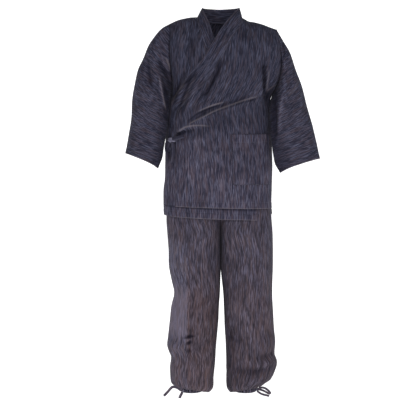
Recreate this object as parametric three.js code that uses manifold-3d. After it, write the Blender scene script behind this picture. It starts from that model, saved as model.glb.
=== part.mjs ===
import * as THREE from 'three';
import Module from 'manifold-3d';
import { mergeVertices } from 'three/addons/utils/BufferGeometryUtils.js';

// A samue: a wrapped jacket with a side tie and trousers gathered at the ankles, as worn.
// Millimetres, +Z up. The origin is on the shoulder line at the middle of the neck.
// The front faces -Y. In tables, left and right are the viewer's; in names they are the wearer's.

// Cloth and seams
const CLOTH = 2;
const COLLAR_CLOTH = 3;
const COLLAR_OUT = 1.2;
const POCKET_CLOTH = 1.6;
const POCKET_GAP = 0.9;
const SEAM_GAP = 0.4;
const SLEEVE_GAP = 0.9;
const SIDE_TAPE = 11;
const ANKLE_TAPE = 8;
const TAPE_THICKNESS = 2.4;
const LAYER = 4;
const LAYER_BLEND = 0.35;

// Jacket
const SHOULDER_BLEND = 250;
const SECTION_POWER = 0.8;
const FRONT_CAP = { depth: 160, power: 0.62 };
const BACK_CAP = { depth: 80, power: 0.5 };
const ARMHOLE = { left: 262, right: 290 };
const ARMHOLE_HALF_DEPTH = 52;
const VENT_TOP = 610;
const VENT_SPREAD = 0.07;
const NAPE = 19;
const NAPE_EDGE = { y: 62, z: 29 };
const COLLAR_END = 446;
const FRONT_EDGE = { outer: -160, under: 136 };
const OUTER_HEM = { edge: 688, side: 700 };
const UNDER_HEM = { edge: 738, side: 722 };
const BACK_HEM = 724;

// Trousers
const CENTRE = 3;
const WAIST = -447;
const FORK = -800;
const FORK_START = -640;
const LEG_END = -1368;
const GATHERS = 6;
const GATHER_DEPTH = 5;
const GATHER_TOP = -1290;
const LEG_POWER = 0.85;
const BLOUSE_TOP = -1325;
const BLOUSE_FOLD = -1360;

const table = (names, rows) => rows.map((row) => {
  const keys = names.split(' ');
  return Object.fromEntries(keys.map((key, i) => [key, row[i]]));
});

// Half-widths and half-depths of the jacket by level below the shoulder line.
const TORSO = table('level left right front back', [
  [0, 181, 206, 110, 106],
  [60, 183, 216, 110, 106],
  [120, 184, 222, 110, 107],
  [180, 180, 221, 111, 109],
  [230, 175, 214, 112, 110],
  [270, 176, 198, 112, 111],
  [300, 181, 186, 112, 111],
  [345, 189, 184, 112, 110],
  [400, 196, 187, 113, 109],
  [450, 200, 190, 115, 110],
  [540, 202, 193, 122, 116],
  [590, 203, 192, 126, 121],
  [632, 208, 191, 129, 125],
  [690, 208, 190, 133, 130],
  [740, 205, 194, 136, 134],
]);

// How far the shoulder has fallen at each share of the half-width.
const SHOULDER = table('share left right', [
  [0.36, 0, 0],
  [0.43, 0.5, 7],
  [0.5, 1, 15.5],
  [0.6, 2, 19],
  [0.75, 7, 27],
  [0.87, 13, 36.5],
  [1, 24, 46],
]);

// The collar's seam by level, and its free edge. An empty edgeY lies on the chest.
const NECKLINE = {
  outer: table('level seamX edgeX edgeY edgeZ', [
    [0, 80, 71, 4, 34],
    [15, 79, 60, -22, 24],
    [34, 73, 35, -52, -3],
    [74, 43, 0, -82, -49],
    [107, 25, -17, null, -81],
    [150, 2, -42, null, -119],
    [194, -23, -67, null, -157],
    [250, -66, -113, null, -217],
    [296, -112, -149, null, -266],
    [332, -145, -178, null, -308],
    [376, -155, -184, null, -366],
    [446, -159, -188, null, -446],
  ]),
  under: table('level seamX edgeX edgeY edgeZ', [
    [0, -82, -65, 2, 33],
    [15, -80, -57, -24, 14],
    [45, -71, -37, -58, -29],
    [75, -61, -27, -80, -62],
    [110, -48, -16, null, -85],
    [150, -24, 16, null, -121],
    [194, 5, 50, null, -161],
    [250, 50, 92, null, -214],
    [296, 90, 128, null, -262],
    [332, 118, 150, null, -304],
    [376, 130, 158, null, -366],
    [446, 134, 160, null, -446],
  ]),
};

// Each sleeve's outer line and inner line in front view, its half-depth, and how far forward it hangs.
const SLEEVE = {
  right: table('run outerX outerZ innerX innerZ depth forward', [
    [0, -181, -26, -174, -262, 52, 0],
    [0.07, -213, -44, -177, -281, 54, 4],
    [0.15, -240, -74, -182, -303, 57, 9],
    [0.23, -262, -107, -185.5, -325, 60, 14],
    [0.32, -280, -151, -188, -351, 61, 19],
    [0.41, -300, -194, -190.5, -377, 62, 24],
    [0.52, -313, -253, -193, -411, 62, 29],
    [0.62, -321, -302, -198, -438, 61, 32],
    [0.74, -324, -367, -205, -475, 60, 35],
    [0.86, -334, -430, -210, -507, 60, 37],
    [1, -346, -498, -226, -545, 60, 38],
  ]),
  left: table('run outerX outerZ innerX innerZ depth forward', [
    [0, 207, -47, 190, -290, 52, 0],
    [0.1, 233, -91, 185, -318, 56, 8],
    [0.19, 255, -129, 183.5, -345, 59, 15],
    [0.33, 277, -194, 183.5, -386, 60, 24],
    [0.45, 299, -253, 185, -420, 59, 30],
    [0.6, 317, -324, 188, -458, 56, 35],
    [0.75, 337, -395, 193, -498, 52, 38],
    [0.87, 352, -454, 200, -530, 49, 39],
    [1, 365, -517, 219, -561, 47, 40],
  ]),
};
// How far the inner fold of a sleeve hangs in front of the body's side, and how soon it gets there.
const SLEEVE_LAP = 38;
const SLEEVE_LAP_BLEND = 4;
const CUFF_DIP = -6;
const CUFF_CORNER = 6;

// Hips, hidden by the jacket down to its hem.
const HIP = table('z left right front back', [
  [-447, -165, 163, 98, 96],
  [-520, -176, 173, 104, 106],
  [-600, -186, 182, 111, 115],
  [-680, -193, 186.5, 115, 119],
  [-760, -198, 189, 117, 121],
  [-830, -192, 190, 117, 122],
]);

// Each leg's outer and inner lines, its front and back, and the depth at which its seams run.
const LEG = {
  right: table('z outer inner front back seam', [
    [-740, -198, 2.6, 118, 121, 0],
    [-800, -194, 2.6, 117, 121, 2],
    [-858, -190, 2.6, 111, 118, 4],
    [-914, -189, 2.4, 106, 113, 5],
    [-969, -179, 2, 100, 107, 6],
    [-1015, -170, 0.5, 95, 103, 7],
    [-1065, -180.5, -3, 92, 101, 8],
    [-1116, -186, -5, 89, 102, 9],
    [-1183, -193.5, -11, 85, 105, 11],
    [-1212, -196, -13.5, 83, 106, 12],
    [-1232, -190.5, -15, 79, 106, 13],
    [-1254, -182, -16, 78, 105, 14],
    [-1295, -186, -19, 79, 102, 16],
    [-1330, -184, -23, 77, 97, 17],
    [-1348, -178, -27, 70, 90, 18],
    [-1360, -162, -44, 52, 78, 18],
    [-1368, -152, -59, 35, 70, 18],
  ]),
  left: table('z outer inner front back seam', [
    [-740, 192, 3.4, 118, 121, 0],
    [-800, 195, 3.4, 117, 121, 2],
    [-888, 196.5, 3.8, 109, 116, 4],
    [-930, 196, 5.5, 104, 111, 5],
    [-1015, 194, 12, 95, 104, 7],
    [-1090, 198, 15.5, 90, 101, 8],
    [-1150, 201.5, 18, 87, 103, 10],
    [-1194, 206, 21, 85, 105, 11],
    [-1245, 204, 23, 82, 106, 13],
    [-1272, 213, 23.5, 82, 105, 15],
    [-1300, 208, 23.5, 81, 101, 16],
    [-1335, 189, 25, 74, 94, 17],
    [-1348, 167, 28, 66, 89, 18],
    [-1360, 149, 42, 51, 78, 18],
    [-1368, 141, 49, 35, 70, 18],
  ]),
};
// How far the gathered cloth hangs down over the casing, from the inseam to the outseam.
const BLOUSE = table('share drop', [
  [0, 30],
  [0.25, 20],
  [0.5, 10],
  [0.75, 6],
  [1, 5],
]);
const CASING = {
  right: { x: -105.5, top: -1368.5, bottom: -1386 },
  left: { x: 95, top: -1368.5, bottom: -1386 },
};
const CASING_HALF = { x: 40, y: 48 };
const CASING_Y = 18;

// Folds as soft ridges (height above 0) and troughs (below 0) along lines seen from the front.
const fold = (height, width, ...line) => ({ height, width, line });
const JACKET_FRONT_FOLDS = [
  fold(9, 17, [-160, -425], [-118, -395], [-62, -362], [0, -338], [70, -322]),
  fold(-8, 18, [-155, -448], [-105, -425], [-50, -396], [20, -368], [60, -352]),
  fold(6, 16, [-150, -452], [-110, -446], [-60, -436]),
  fold(-6, 20, [22, -130], [0, -200], [-45, -270], [-90, -330]),
  fold(5, 18, [50, -120], [35, -210], [0, -290]),
  fold(-6, 16, [-102, -60], [-106, -130], [-112, -190]),
  fold(5, 16, [-128, -50], [-134, -130], [-140, -200]),
  fold(-7, 20, [166, -215], [172, -262], [176, -330]),
  fold(6, 18, [150, -230], [158, -290]),
  fold(5, 30, [-120, -500], [-112, -600], [-116, -690]),
  fold(-4, 28, [-70, -520], [-62, -610], [-66, -690]),
  fold(5, 32, [0, -480], [10, -590], [6, -690]),
];
const JACKET_BACK_FOLDS = [
  fold(5, 26, [-120, -150], [-104, -280], [-90, -430]),
  fold(-5, 24, [-60, -200], [-56, -330], [-62, -470]),
  fold(5, 26, [116, -160], [100, -290], [92, -440]),
  fold(-5, 24, [52, -220], [58, -350], [50, -480]),
  fold(6, 30, [-130, -470], [-118, -590], [-124, -720]),
  fold(6, 30, [96, -480], [108, -600], [104, -720]),
  fold(-6, 22, [-160, -230], [-120, -330], [-70, -400]),
  fold(-6, 22, [165, -250], [128, -345], [80, -410]),
];
const SLEEVE_FOLDS = {
  right: [
    fold(7, 12, [-222, -200], [-208, -275], [-197, -360]),
    fold(-7, 14, [-240, -215], [-226, -290], [-214, -370]),
    fold(6, 14, [-228, -150], [-200, -172], [-180, -192]),
    fold(-6, 18, [-268, -150], [-262, -215], [-246, -275]),
    fold(5, 18, [-300, -260], [-280, -330], [-272, -420]),
    fold(-5, 18, [-285, -360], [-268, -410], [-262, -480]),
  ],
  left: [
    fold(-9, 14, [212, -190], [206, -262], [204, -330]),
    fold(6, 14, [228, -200], [224, -280], [218, -360]),
    fold(-5, 18, [262, -200], [252, -290], [244, -380]),
    fold(5, 20, [296, -300], [280, -390], [276, -470]),
    fold(-5, 18, [240, -420], [236, -480], [240, -540]),
    fold(5, 18, [320, -370], [318, -440], [326, -510]),
  ],
};
const LEG_FRONT_FOLDS = {
  right: [
    fold(5, 14, [-121, -1000], [-121, -1100], [-121, -1175]),
    fold(5, 13, [-119, -1262], [-118, -1310], [-117, -1350]),
    fold(-6, 13, [-186, -1178], [-150, -1176], [-104, -1180]),
    fold(6, 12, [-184, -1206], [-150, -1208], [-112, -1216]),
    fold(-5, 12, [-172, -1236], [-146, -1232], [-108, -1240]),
    fold(6, 14, [-178, -1262], [-160, -1300], [-150, -1340]),
    fold(4, 26, [-60, -960], [-62, -1060], [-66, -1160]),
    fold(-4, 22, [-92, -760], [-100, -880], [-104, -980]),
  ],
  left: [
    fold(4, 18, [98, -860], [102, -980], [104, -1100]),
    fold(-5, 14, [30, -1172], [52, -1190], [70, -1200]),
    fold(6, 14, [120, -1282], [165, -1272], [200, -1258]),
    fold(-6, 14, [50, -1300], [110, -1310], [165, -1300]),
    fold(5, 14, [60, -1330], [110, -1338], [160, -1330]),
    fold(4, 26, [160, -900], [158, -1020], [164, -1140]),
    fold(-4, 22, [62, -780], [56, -900], [60, -1010]),
  ],
};
const LEG_BACK_FOLDS = {
  right: [
    fold(5, 16, [-50, -820], [-96, -858], [-150, -868]),
    fold(-6, 14, [-150, -1120], [-100, -1136], [-50, -1128]),
    fold(6, 14, [-160, -1160], [-104, -1172], [-40, -1160]),
    fold(5, 16, [-104, -900], [-102, -1000], [-106, -1090]),
    fold(-5, 14, [-160, -1290], [-110, -1302], [-56, -1290]),
  ],
  left: [
    fold(5, 16, [52, -820], [100, -856], [156, -862]),
    fold(-6, 14, [48, -1118], [104, -1130], [160, -1116]),
    fold(6, 14, [44, -1158], [106, -1168], [172, -1156]),
    fold(5, 16, [104, -900], [108, -1000], [106, -1090]),
    fold(-5, 14, [56, -1286], [118, -1300], [176, -1286]),
  ],
};

const clamp = (value, low = 0, high = 1) => Math.min(high, Math.max(low, value));
const smooth = (value) => {
  const t = clamp(value);
  return t * t * (3 - 2 * t);
};
const mix = (a, b, t) => a + (b - a) * t;

// A smooth curve through one column of a table, read at a value of its first column.
function read(rows, key, at) {
  const by = Object.keys(rows[0])[0];
  const sign = Math.sign(rows[rows.length - 1][by] - rows[0][by]);
  const where = (i) => sign * rows[i][by];
  const target = clamp(sign * at, where(0), where(rows.length - 1));
  let i = 0;
  while (i < rows.length - 2 && where(i + 1) < target) i += 1;
  const slope = (k) => {
    const before = Math.max(0, k - 1);
    const after = Math.min(rows.length - 1, k + 1);
    return (rows[after][key] - rows[before][key]) / (where(after) - where(before));
  };
  const span = where(i + 1) - where(i);
  const t = (target - where(i)) / span;
  const t2 = t * t;
  const t3 = t2 * t;
  return (2 * t3 - 3 * t2 + 1) * rows[i][key] + (t3 - 2 * t2 + t) * span * slope(i)
    + (3 * t2 - 2 * t3) * rows[i + 1][key] + (t3 - t2) * span * slope(i + 1);
}

// The height that a list of folds gives to a point seen at x, z.
function foldHeight(folds, x, z) {
  let total = 0;
  for (const { height, width, line } of folds) {
    let nearest = Infinity;
    let share = 0;
    for (let i = 0; i + 1 < line.length; i += 1) {
      const [ax, az] = line[i];
      const dx = line[i + 1][0] - ax;
      const dz = line[i + 1][1] - az;
      const t = clamp(((x - ax) * dx + (z - az) * dz) / (dx * dx + dz * dz));
      const gap = Math.hypot(x - ax - t * dx, z - az - t * dz);
      if (gap < nearest) {
        nearest = gap;
        share = (i + t) / (line.length - 1);
      }
    }
    const taper = smooth(share * 4 + 0.25) * smooth((1 - share) * 4 + 0.25);
    total += height * taper * Math.exp(-((nearest / width) ** 2));
  }
  return total;
}

// The jacket's body

const shoulderDrop = (side, a, level) => read(SHOULDER, side, Math.abs(a)) * (1 - smooth(level / SHOULDER_BLEND));

// Half the opening between front and back at the side: the armhole, the seam, or the vent.
function sideOpening(side, level) {
  const bottom = ARMHOLE[side];
  if (level < bottom) {
    const t = 1 - (2 * level) / bottom;
    return Math.max(SEAM_GAP / 2, ARMHOLE_HALF_DEPTH * Math.sqrt(1 - t * t)) * Math.sign(level);
  }
  return SEAM_GAP / 2 + VENT_SPREAD * Math.max(0, level - VENT_TOP);
}

function depthAt(face, level) {
  const cap = face === 'front' ? FRONT_CAP : BACK_CAP;
  const rise = 1 - (1 - clamp(level / cap.depth)) ** 2;
  return read(TORSO, face, level) * rise ** cap.power;
}

// A point of the plain body form: face front or back, angle from the middle to the side, level down.
function torsoForm(face, angle, level) {
  const a = Math.sin(angle);
  const side = a < 0 ? 'left' : 'right';
  const open = sideOpening(side, level);
  const reach = Math.max(open, depthAt(face, level));
  const out = open + (reach - open) * Math.max(0, Math.cos(angle)) ** SECTION_POWER;
  return new THREE.Vector3(
    read(TORSO, side, level) * a,
    face === 'front' ? -out : out,
    -level - shoulderDrop(side, a, level),
  );
}

const angleOf = (x, level) => Math.asin(clamp(x / read(TORSO, x < 0 ? 'left' : 'right', level), -1, 1));

// How far a front lies out from the plain form, so that the outer front covers the under one.
function layerAt(front, angle) {
  const a = Math.sin(angle);
  if (front === 'outer') return LAYER * smooth((1 - a) / LAYER_BLEND);
  if (front === 'under') return -LAYER * smooth((1 + a) / LAYER_BLEND);
  return 0;
}

function torsoPoint(face, front, angle, level, out = 0) {
  const point = torsoForm(face, angle, level);
  const step = 0.02;
  const near = clamp(angle, -Math.PI / 2 + step, Math.PI / 2 - step);
  const across = torsoForm(face, near + step, level).sub(torsoForm(face, near - step, level));
  const down = torsoForm(face, near, level + 3).sub(torsoForm(face, near, Math.max(0, level - 3)));
  const normal = down.cross(across).normalize();
  if (face === 'back') normal.negate();
  const folds = face === 'front' ? JACKET_FRONT_FOLDS : JACKET_BACK_FOLDS;
  const settle = smooth((Math.PI / 2 - Math.abs(angle)) / 0.35);
  const lift = foldHeight(folds, point.x, point.z) * settle * smooth(level / 40);
  const layer = layerAt(face === 'front' ? front : 'back', angle) * smooth(level / 30);
  return point.addScaledVector(normal, lift + layer + out);
}

// The point of the body's surface that is seen at x, z.
function onFront(front, x, z, out = 0) {
  let level = -z;
  for (let i = 0; i < 6; i += 1) {
    const side = x < 0 ? 'left' : 'right';
    const a = clamp(x / read(TORSO, side, level), -1, 1);
    level = Math.max(0, -z - shoulderDrop(side, a, level));
  }
  return torsoPoint('front', front, angleOf(x, level), level, out);
}

function napeX(level) {
  const widest = 80;
  return level >= NAPE ? 0 : widest * Math.sqrt(1 - (level / NAPE) ** 2);
}

// Where a body piece ends towards the middle: at the collar's seam, its front edge or the back seam.
function innerAngle(front, face, level) {
  if (face === 'front') {
    const x = level < COLLAR_END ? read(NECKLINE[front], 'seamX', level) : FRONT_EDGE[front];
    return angleOf(x, level);
  }
  const sign = front === 'outer' ? 1 : -1;
  return angleOf(sign * Math.max(SEAM_GAP / 2, napeX(level)), level);
}

const FRONT_LEVELS = [0, 8, 20, 38, 60, 85, 110, 140, 170, 200, 230, 258, 282, 304, 326, 350, 376, 402, 425, 446];
const SKIRT_STEPS = [0.012, 0.14, 0.3, 0.47, 0.65, 0.82, 1];
const NECK_LEVELS = [7, 13, 17, NAPE];
const BODY_SHARES = {
  outer: [0, 0.075, 0.15, 0.23, 0.31, 0.39, 0.463, 0.53, 0.6, 0.67, 0.74, 0.81, 0.8735, 0.94, 1],
  under: [0, 0.09, 0.18, 0.27, 0.36, 0.45, 0.54, 0.63, 0.72, 0.79, 0.86, 0.93, 1],
};
const BACK_LEVELS = [34, 60, 95, 135, 180, 225, 262, 290, 330, 390, 450, 520, 580, 615, 670, BACK_HEM];

function bodyRow(front, face, levelAt) {
  const side = front === 'outer' ? 1 : -1;
  const start = innerAngle(front, face, levelAt(0));
  return BODY_SHARES[front].map((share) => (
    torsoPoint(face, front, mix(start, (side * Math.PI) / 2, share), levelAt(share))));
}

function bodyGrid(front) {
  const hem = front === 'outer' ? OUTER_HEM : UNDER_HEM;
  const rows = [];
  for (const step of [...SKIRT_STEPS].reverse()) {
    const levelAt = (share) => mix(COLLAR_END, mix(hem.edge, hem.side, share), step);
    rows.push(bodyRow(front, 'front', levelAt));
  }
  for (const level of [...FRONT_LEVELS].reverse()) rows.push(bodyRow(front, 'front', () => level));
  for (const level of [...NECK_LEVELS, ...BACK_LEVELS]) rows.push(bodyRow(front, 'back', () => level));
  return rows;
}

// Solids from grids of points

function gridNormals(grid, around, centre) {
  const rows = grid.length;
  const columns = grid[0].length;
  const normals = grid.map((row, r) => row.map((point, c) => {
    const before = around ? (c + columns - 1) % columns : Math.max(0, c - 1);
    const after = around ? (c + 1) % columns : Math.min(columns - 1, c + 1);
    const across = grid[r][after].clone().sub(grid[r][before]);
    const down = grid[Math.min(rows - 1, r + 1)][c].clone().sub(grid[Math.max(0, r - 1)][c]);
    return down.cross(across).normalize();
  }));
  let facing = 0;
  grid.forEach((row, r) => row.forEach((point, c) => {
    facing += normals[r][c].dot(point.clone().sub(centre(point)));
  }));
  if (facing < 0) normals.forEach((row) => row.forEach((normal) => normal.negate()));
  return normals;
}

// A closed wall: the grid is its outer face, and its inner face lies one thickness behind.
function wall(grid, thickness, { around = false, centre, square = () => null }) {
  const rows = grid.length;
  const columns = grid[0].length;
  const normals = gridNormals(grid, around, centre);
  const positions = [];
  for (const depth of [0, thickness]) {
    grid.forEach((row, r) => row.forEach((point, c) => {
      const normal = normals[r][c].clone();
      const axis = square(r, c);
      if (axis) normal.setComponent('xyz'.indexOf(axis), 0).normalize();
      positions.push(...point.clone().addScaledVector(normal, -depth).toArray());
    }));
  }
  const outer = (r, c) => r * columns + (c % columns);
  const inner = (r, c) => rows * columns + outer(r, c);
  const index = [];
  const quad = (a, b, c, d) => index.push(a, b, c, a, c, d);
  const lastColumn = around ? columns : columns - 1;
  for (let r = 0; r + 1 < rows; r += 1) {
    for (let c = 0; c < lastColumn; c += 1) {
      quad(outer(r, c), outer(r, c + 1), outer(r + 1, c + 1), outer(r + 1, c));
      quad(inner(r, c), inner(r + 1, c), inner(r + 1, c + 1), inner(r, c + 1));
    }
  }
  for (let c = 0; c < lastColumn; c += 1) {
    quad(inner(0, c), inner(0, c + 1), outer(0, c + 1), outer(0, c));
    quad(outer(rows - 1, c), outer(rows - 1, c + 1), inner(rows - 1, c + 1), inner(rows - 1, c));
  }
  if (!around) {
    for (let r = 0; r + 1 < rows; r += 1) {
      quad(outer(r, 0), outer(r + 1, 0), inner(r + 1, 0), inner(r, 0));
      quad(inner(r, lastColumn), inner(r + 1, lastColumn), outer(r + 1, lastColumn), outer(r, lastColumn));
    }
  }
  const geometry = new THREE.BufferGeometry();
  geometry.setAttribute('position', new THREE.Float32BufferAttribute(positions, 3));
  geometry.setIndex(index);
  if (signedVolume(geometry) < 0) geometry.setIndex(index.reverse());
  geometry.computeVertexNormals();
  return geometry;
}

function signedVolume(geometry) {
  const position = geometry.attributes.position;
  const index = geometry.index;
  const corner = (i) => new THREE.Vector3().fromBufferAttribute(position, index.getX(i));
  let total = 0;
  for (let i = 0; i < index.count; i += 3) total += corner(i).dot(corner(i + 1).cross(corner(i + 2)));
  return total / 6;
}

// Materials
const cloth = (color) => new THREE.MeshStandardMaterial({ color, roughness: 0.9, metalness: 0 });
const JACKET_COLOUR = 0x3f3d4b;
const TROUSER_COLOUR = 0x4b4650;
const TIE_COLOUR = 0x34333f;

const samue = new THREE.Group();
function add(name, geometry, color) {
  const mesh = new THREE.Mesh(geometry, cloth(color));
  mesh.name = name;
  samue.add(mesh);
}

// Body pieces. The columns run from the collar's seam, the front edge or the back seam to the side.
const bodyCentre = () => new THREE.Vector3(0, 0, -300);
const bodies = {};
for (const [name, front] of [['body_left', 'outer'], ['body_right', 'under']]) {
  bodies[front] = bodyGrid(front);
  const last = BODY_SHARES[front].length - 1;
  const firstBack = SKIRT_STEPS.length + FRONT_LEVELS.length + NECK_LEVELS.length - 1;
  const square = (r, c) => {
    if (c === last) return 'y';
    return c === 0 && r >= firstBack ? 'x' : null;
  };
  add(name, wall(bodies[front], CLOTH, { centre: bodyCentre, square }), JACKET_COLOUR);
}

// Collar: each row runs from the seam to the free edge, at the same levels as the body pieces.
// On the chest it follows the body, and at the neck the band stands up straight.
const COLLAR_SHARES = [0, 1 / 3, 2 / 3, 1];
const COLLAR_SHIFT = 0.007;
const STANDS_TO = 70;
const LIES_FROM = 110;

function standingEdge(front, level) {
  const rows = NECKLINE[front].map((row) => {
    const y = row.edgeY ?? onFront(front, row.edgeX, row.edgeZ, COLLAR_OUT).y;
    return { level: row.level, x: row.edgeX, y, z: row.edgeZ };
  });
  return new THREE.Vector3(read(rows, 'x', level), read(rows, 'y', level), read(rows, 'z', level));
}

function standingRow(seam, edge) {
  const start = seam.clone().addScaledVector(edge.clone().sub(seam).normalize(), SEAM_GAP * 2);
  return COLLAR_SHARES.map((share) => start.clone().lerp(edge, share));
}

function collarRow(front, level) {
  const seamAngle = innerAngle(front, 'front', level);
  const row = standingRow(torsoPoint('front', front, seamAngle, level, COLLAR_OUT), standingEdge(front, level));
  const edgeX = read(NECKLINE[front], 'edgeX', level);
  const edgeLevel = -read(NECKLINE[front], 'edgeZ', level);
  if (level <= STANDS_TO) return row;
  const from = seamAngle + (front === 'outer' ? -COLLAR_SHIFT : COLLAR_SHIFT);
  const lies = smooth((level - STANDS_TO) / (LIES_FROM - STANDS_TO));
  return row.map((point, i) => {
    const angle = mix(from, angleOf(edgeX, edgeLevel), COLLAR_SHARES[i]);
    return point.lerp(torsoPoint('front', front, angle, mix(level, edgeLevel, COLLAR_SHARES[i]), COLLAR_OUT), lies);
  });
}

function napeRow(front, level) {
  const sign = front === 'outer' ? 1 : -1;
  const turn = (level / NAPE) ** 2;
  const angle = (turn * Math.PI) / 2;
  const from = standingEdge(front, 0);
  const edge = new THREE.Vector3(
    from.x * Math.cos(angle),
    mix(from.y, NAPE_EDGE.y, Math.sin(angle)),
    mix(from.z, NAPE_EDGE.z, turn),
  );
  return standingRow(torsoPoint('back', front, angleOf(sign * napeX(level), level), level, COLLAR_OUT), edge);
}

const collarRows = [
  ...[...FRONT_LEVELS].reverse().map((level) => collarRow('outer', level)),
  ...NECK_LEVELS.map((level) => napeRow('outer', level)),
  ...NECK_LEVELS.slice(0, -1).reverse().map((level) => napeRow('under', level)),
  ...FRONT_LEVELS.map((level) => collarRow('under', level)),
];
add('collar', wall(collarRows, COLLAR_CLOTH, { centre: () => new THREE.Vector3(0, 0, -200) }), JACKET_COLOUR);

// Sleeves: rings from the armhole to the cuff. The turn is 0 at the top and a quarter at the front.
function sleeveRing(arm, run, steps) {
  const side = arm === 'right' ? 'left' : 'right';
  const out = arm === 'right' ? -1 : 1;
  const rows = SLEEVE[arm];
  const get = (key, at) => read(rows, key, at);
  const ring = (at, turn) => {
    const c = Math.cos(turn);
    const s = Math.sin(turn);
    const dip = CUFF_DIP * smooth(at) * Math.max(0, s) + CUFF_CORNER * smooth(at) * Math.max(0, -c) ** 3;
    return new THREE.Vector3(
      mix(get('innerX', at), get('outerX', at), (1 + c) / 2),
      -get('forward', at) - get('depth', at) * s - SLEEVE_LAP * smooth(at * SLEEVE_LAP_BLEND) * (1 - c) / 2,
      mix(get('innerZ', at), get('outerZ', at), (1 + c) / 2) - dip,
    );
  };
  const points = [];
  for (let i = 0; i < steps; i += 1) {
    const turn = (2 * Math.PI * i) / steps;
    const level = (ARMHOLE[side] * (1 - Math.cos(turn))) / 2;
    const face = Math.sin(turn) >= 0 ? 'front' : 'back';
    const armhole = torsoForm(face, (out * Math.PI) / 2, level);
    armhole.x += out * SLEEVE_GAP;
    const point = ring(run, turn);
    point.addScaledVector(armhole.sub(ring(0, turn)), (1 - run) ** 3);
    points.push(point);
  }
  return points;
}

const SLEEVE_STEPS = 20;
const SLEEVE_RUNS = [0, 0.07, 0.15, 0.24, 0.33, 0.43, 0.53, 0.64, 0.76, 0.88, 1];
for (const arm of ['left', 'right']) {
  const plain = SLEEVE_RUNS.map((run) => sleeveRing(arm, run, SLEEVE_STEPS));
  const middleOf = (row) => row.reduce((sum, p) => sum.add(p), new THREE.Vector3()).divideScalar(row.length);
  const grid = plain.map((row, r) => row.map((point, i) => {
    const middle = middleOf(row);
    const away = point.clone().sub(middle).normalize();
    const turn = (2 * Math.PI * i) / SLEEVE_STEPS;
    const fade = smooth(SLEEVE_RUNS[r] * 8) * Math.abs(Math.sin(turn)) ** 0.5;
    return point.addScaledVector(away, foldHeight(SLEEVE_FOLDS[arm], point.x, point.z) * fade);
  }));
  const middles = grid.map(middleOf);
  const nearest = (point) => middles.reduce((a, b) => (a.distanceTo(point) < b.distanceTo(point) ? a : b));
  const square = (r) => (r === 0 ? 'x' : null);
  add(`sleeve_${arm}`, wall(grid, CLOTH, { around: true, centre: nearest, square }), JACKET_COLOUR);
}

// Pocket: points of the outer front moved out, between two of its rows and two of its columns.
const POCKET = { bottomRow: 2, topRow: 8, leftColumn: 6, rightColumn: 12 };
const outerNormals = gridNormals(bodies.outer, false, bodyCentre);
const pocketGrid = bodies.outer.slice(POCKET.bottomRow, POCKET.topRow + 1).map((row, r) => (
  row.slice(POCKET.leftColumn, POCKET.rightColumn + 1).map((point, c) => {
    const normal = outerNormals[r + POCKET.bottomRow][c + POCKET.leftColumn];
    return point.clone().addScaledVector(normal, POCKET_GAP + POCKET_CLOTH);
  })));
add('pocket', wall(pocketGrid, POCKET_CLOTH, { centre: bodyCentre }), JACKET_COLOUR);

// Trousers

// A point of a leg panel: share 0 at the centre seam or the inseam, 1 at the outseam.
function trouserPoint(leg, face, share, z) {
  const out = leg === 'right' ? -1 : 1;
  const side = leg === 'right' ? 'left' : 'right';
  const sign = face === 'front' ? -1 : 1;
  const fork = smooth((FORK_START - z) / (FORK_START - FORK)) ** 1.6;
  const start = CENTRE + out * SEAM_GAP;
  const hipTurn = (share * Math.PI) / 2;
  const hip = new THREE.Vector3(
    mix(start, read(HIP, side, z), Math.sin(hipTurn)),
    sign * read(HIP, face, z) * Math.cos(hipTurn) ** SECTION_POWER,
    z,
  );
  const turn = (share - 0.5) * Math.PI;
  const outer = read(LEG[leg], 'outer', z);
  const inner = read(LEG[leg], 'inner', z);
  const seam = read(LEG[leg], 'seam', z);
  const reach = sign * read(LEG[leg], face, z) - seam;
  const round = Math.max(0, Math.cos(turn)) ** LEG_POWER;
  const ring = new THREE.Vector3(mix(inner, outer, (1 + Math.sin(turn)) / 2), seam + reach * round, z);
  const point = hip.lerp(ring, fork);
  point.y += (sign * SEAM_GAP) / 2;
  const middle = new THREE.Vector3((outer + inner) / 2, seam, z);
  const away = point.clone().sub(middle).normalize();
  const gather = GATHER_DEPTH * smooth((GATHER_TOP - z) / (GATHER_TOP - LEG_END));
  const wave = gather * Math.cos(2 * Math.PI * GATHERS * share);
  const folds = (face === 'front' ? LEG_FRONT_FOLDS : LEG_BACK_FOLDS)[leg];
  const settle = smooth(share * 5) * smooth((1 - share) * 5);
  const ease = 1 - smooth((LEG_END + 30 - z) / 30);
  point.addScaledVector(away, foldHeight(folds, point.x, point.z) * settle * ease - wave);
  const hang = smooth((BLOUSE_TOP - z) / (BLOUSE_TOP - BLOUSE_FOLD)) * smooth((z - LEG_END) / (BLOUSE_FOLD - LEG_END));
  point.z -= read(BLOUSE, 'drop', share) * hang;
  return point;
}

const LEG_COLUMNS = 12;
const LEG_LEVELS = [-447, -540, -620, -680, -725, -765, -800, -835, -885, -940, -1000, -1060, -1115,
  -1155, -1182, -1208, -1232, -1262, -1292, -1318, -1338, -1350, BLOUSE_FOLD, LEG_END];
for (const leg of ['left', 'right']) {
  for (const face of ['front', 'back']) {
    const grid = LEG_LEVELS.map((z) => {
      const row = [];
      for (let j = 0; j <= LEG_COLUMNS; j += 1) row.push(trouserPoint(leg, face, j / LEG_COLUMNS, z));
      return row;
    });
    const middle = (read(LEG[leg], 'outer', FORK) + CENTRE) / 2;
    const centre = (point) => new THREE.Vector3(middle, 8, point.z);
    const square = (r, c) => {
      if (c === LEG_COLUMNS) return 'y';
      if (c > 0) return null;
      return LEG_LEVELS[r] <= FORK ? 'y' : null;
    };
    add(`trouser_${face}_${leg}`, wall(grid, CLOTH, { centre, square }), TROUSER_COLOUR);
  }
}

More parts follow.
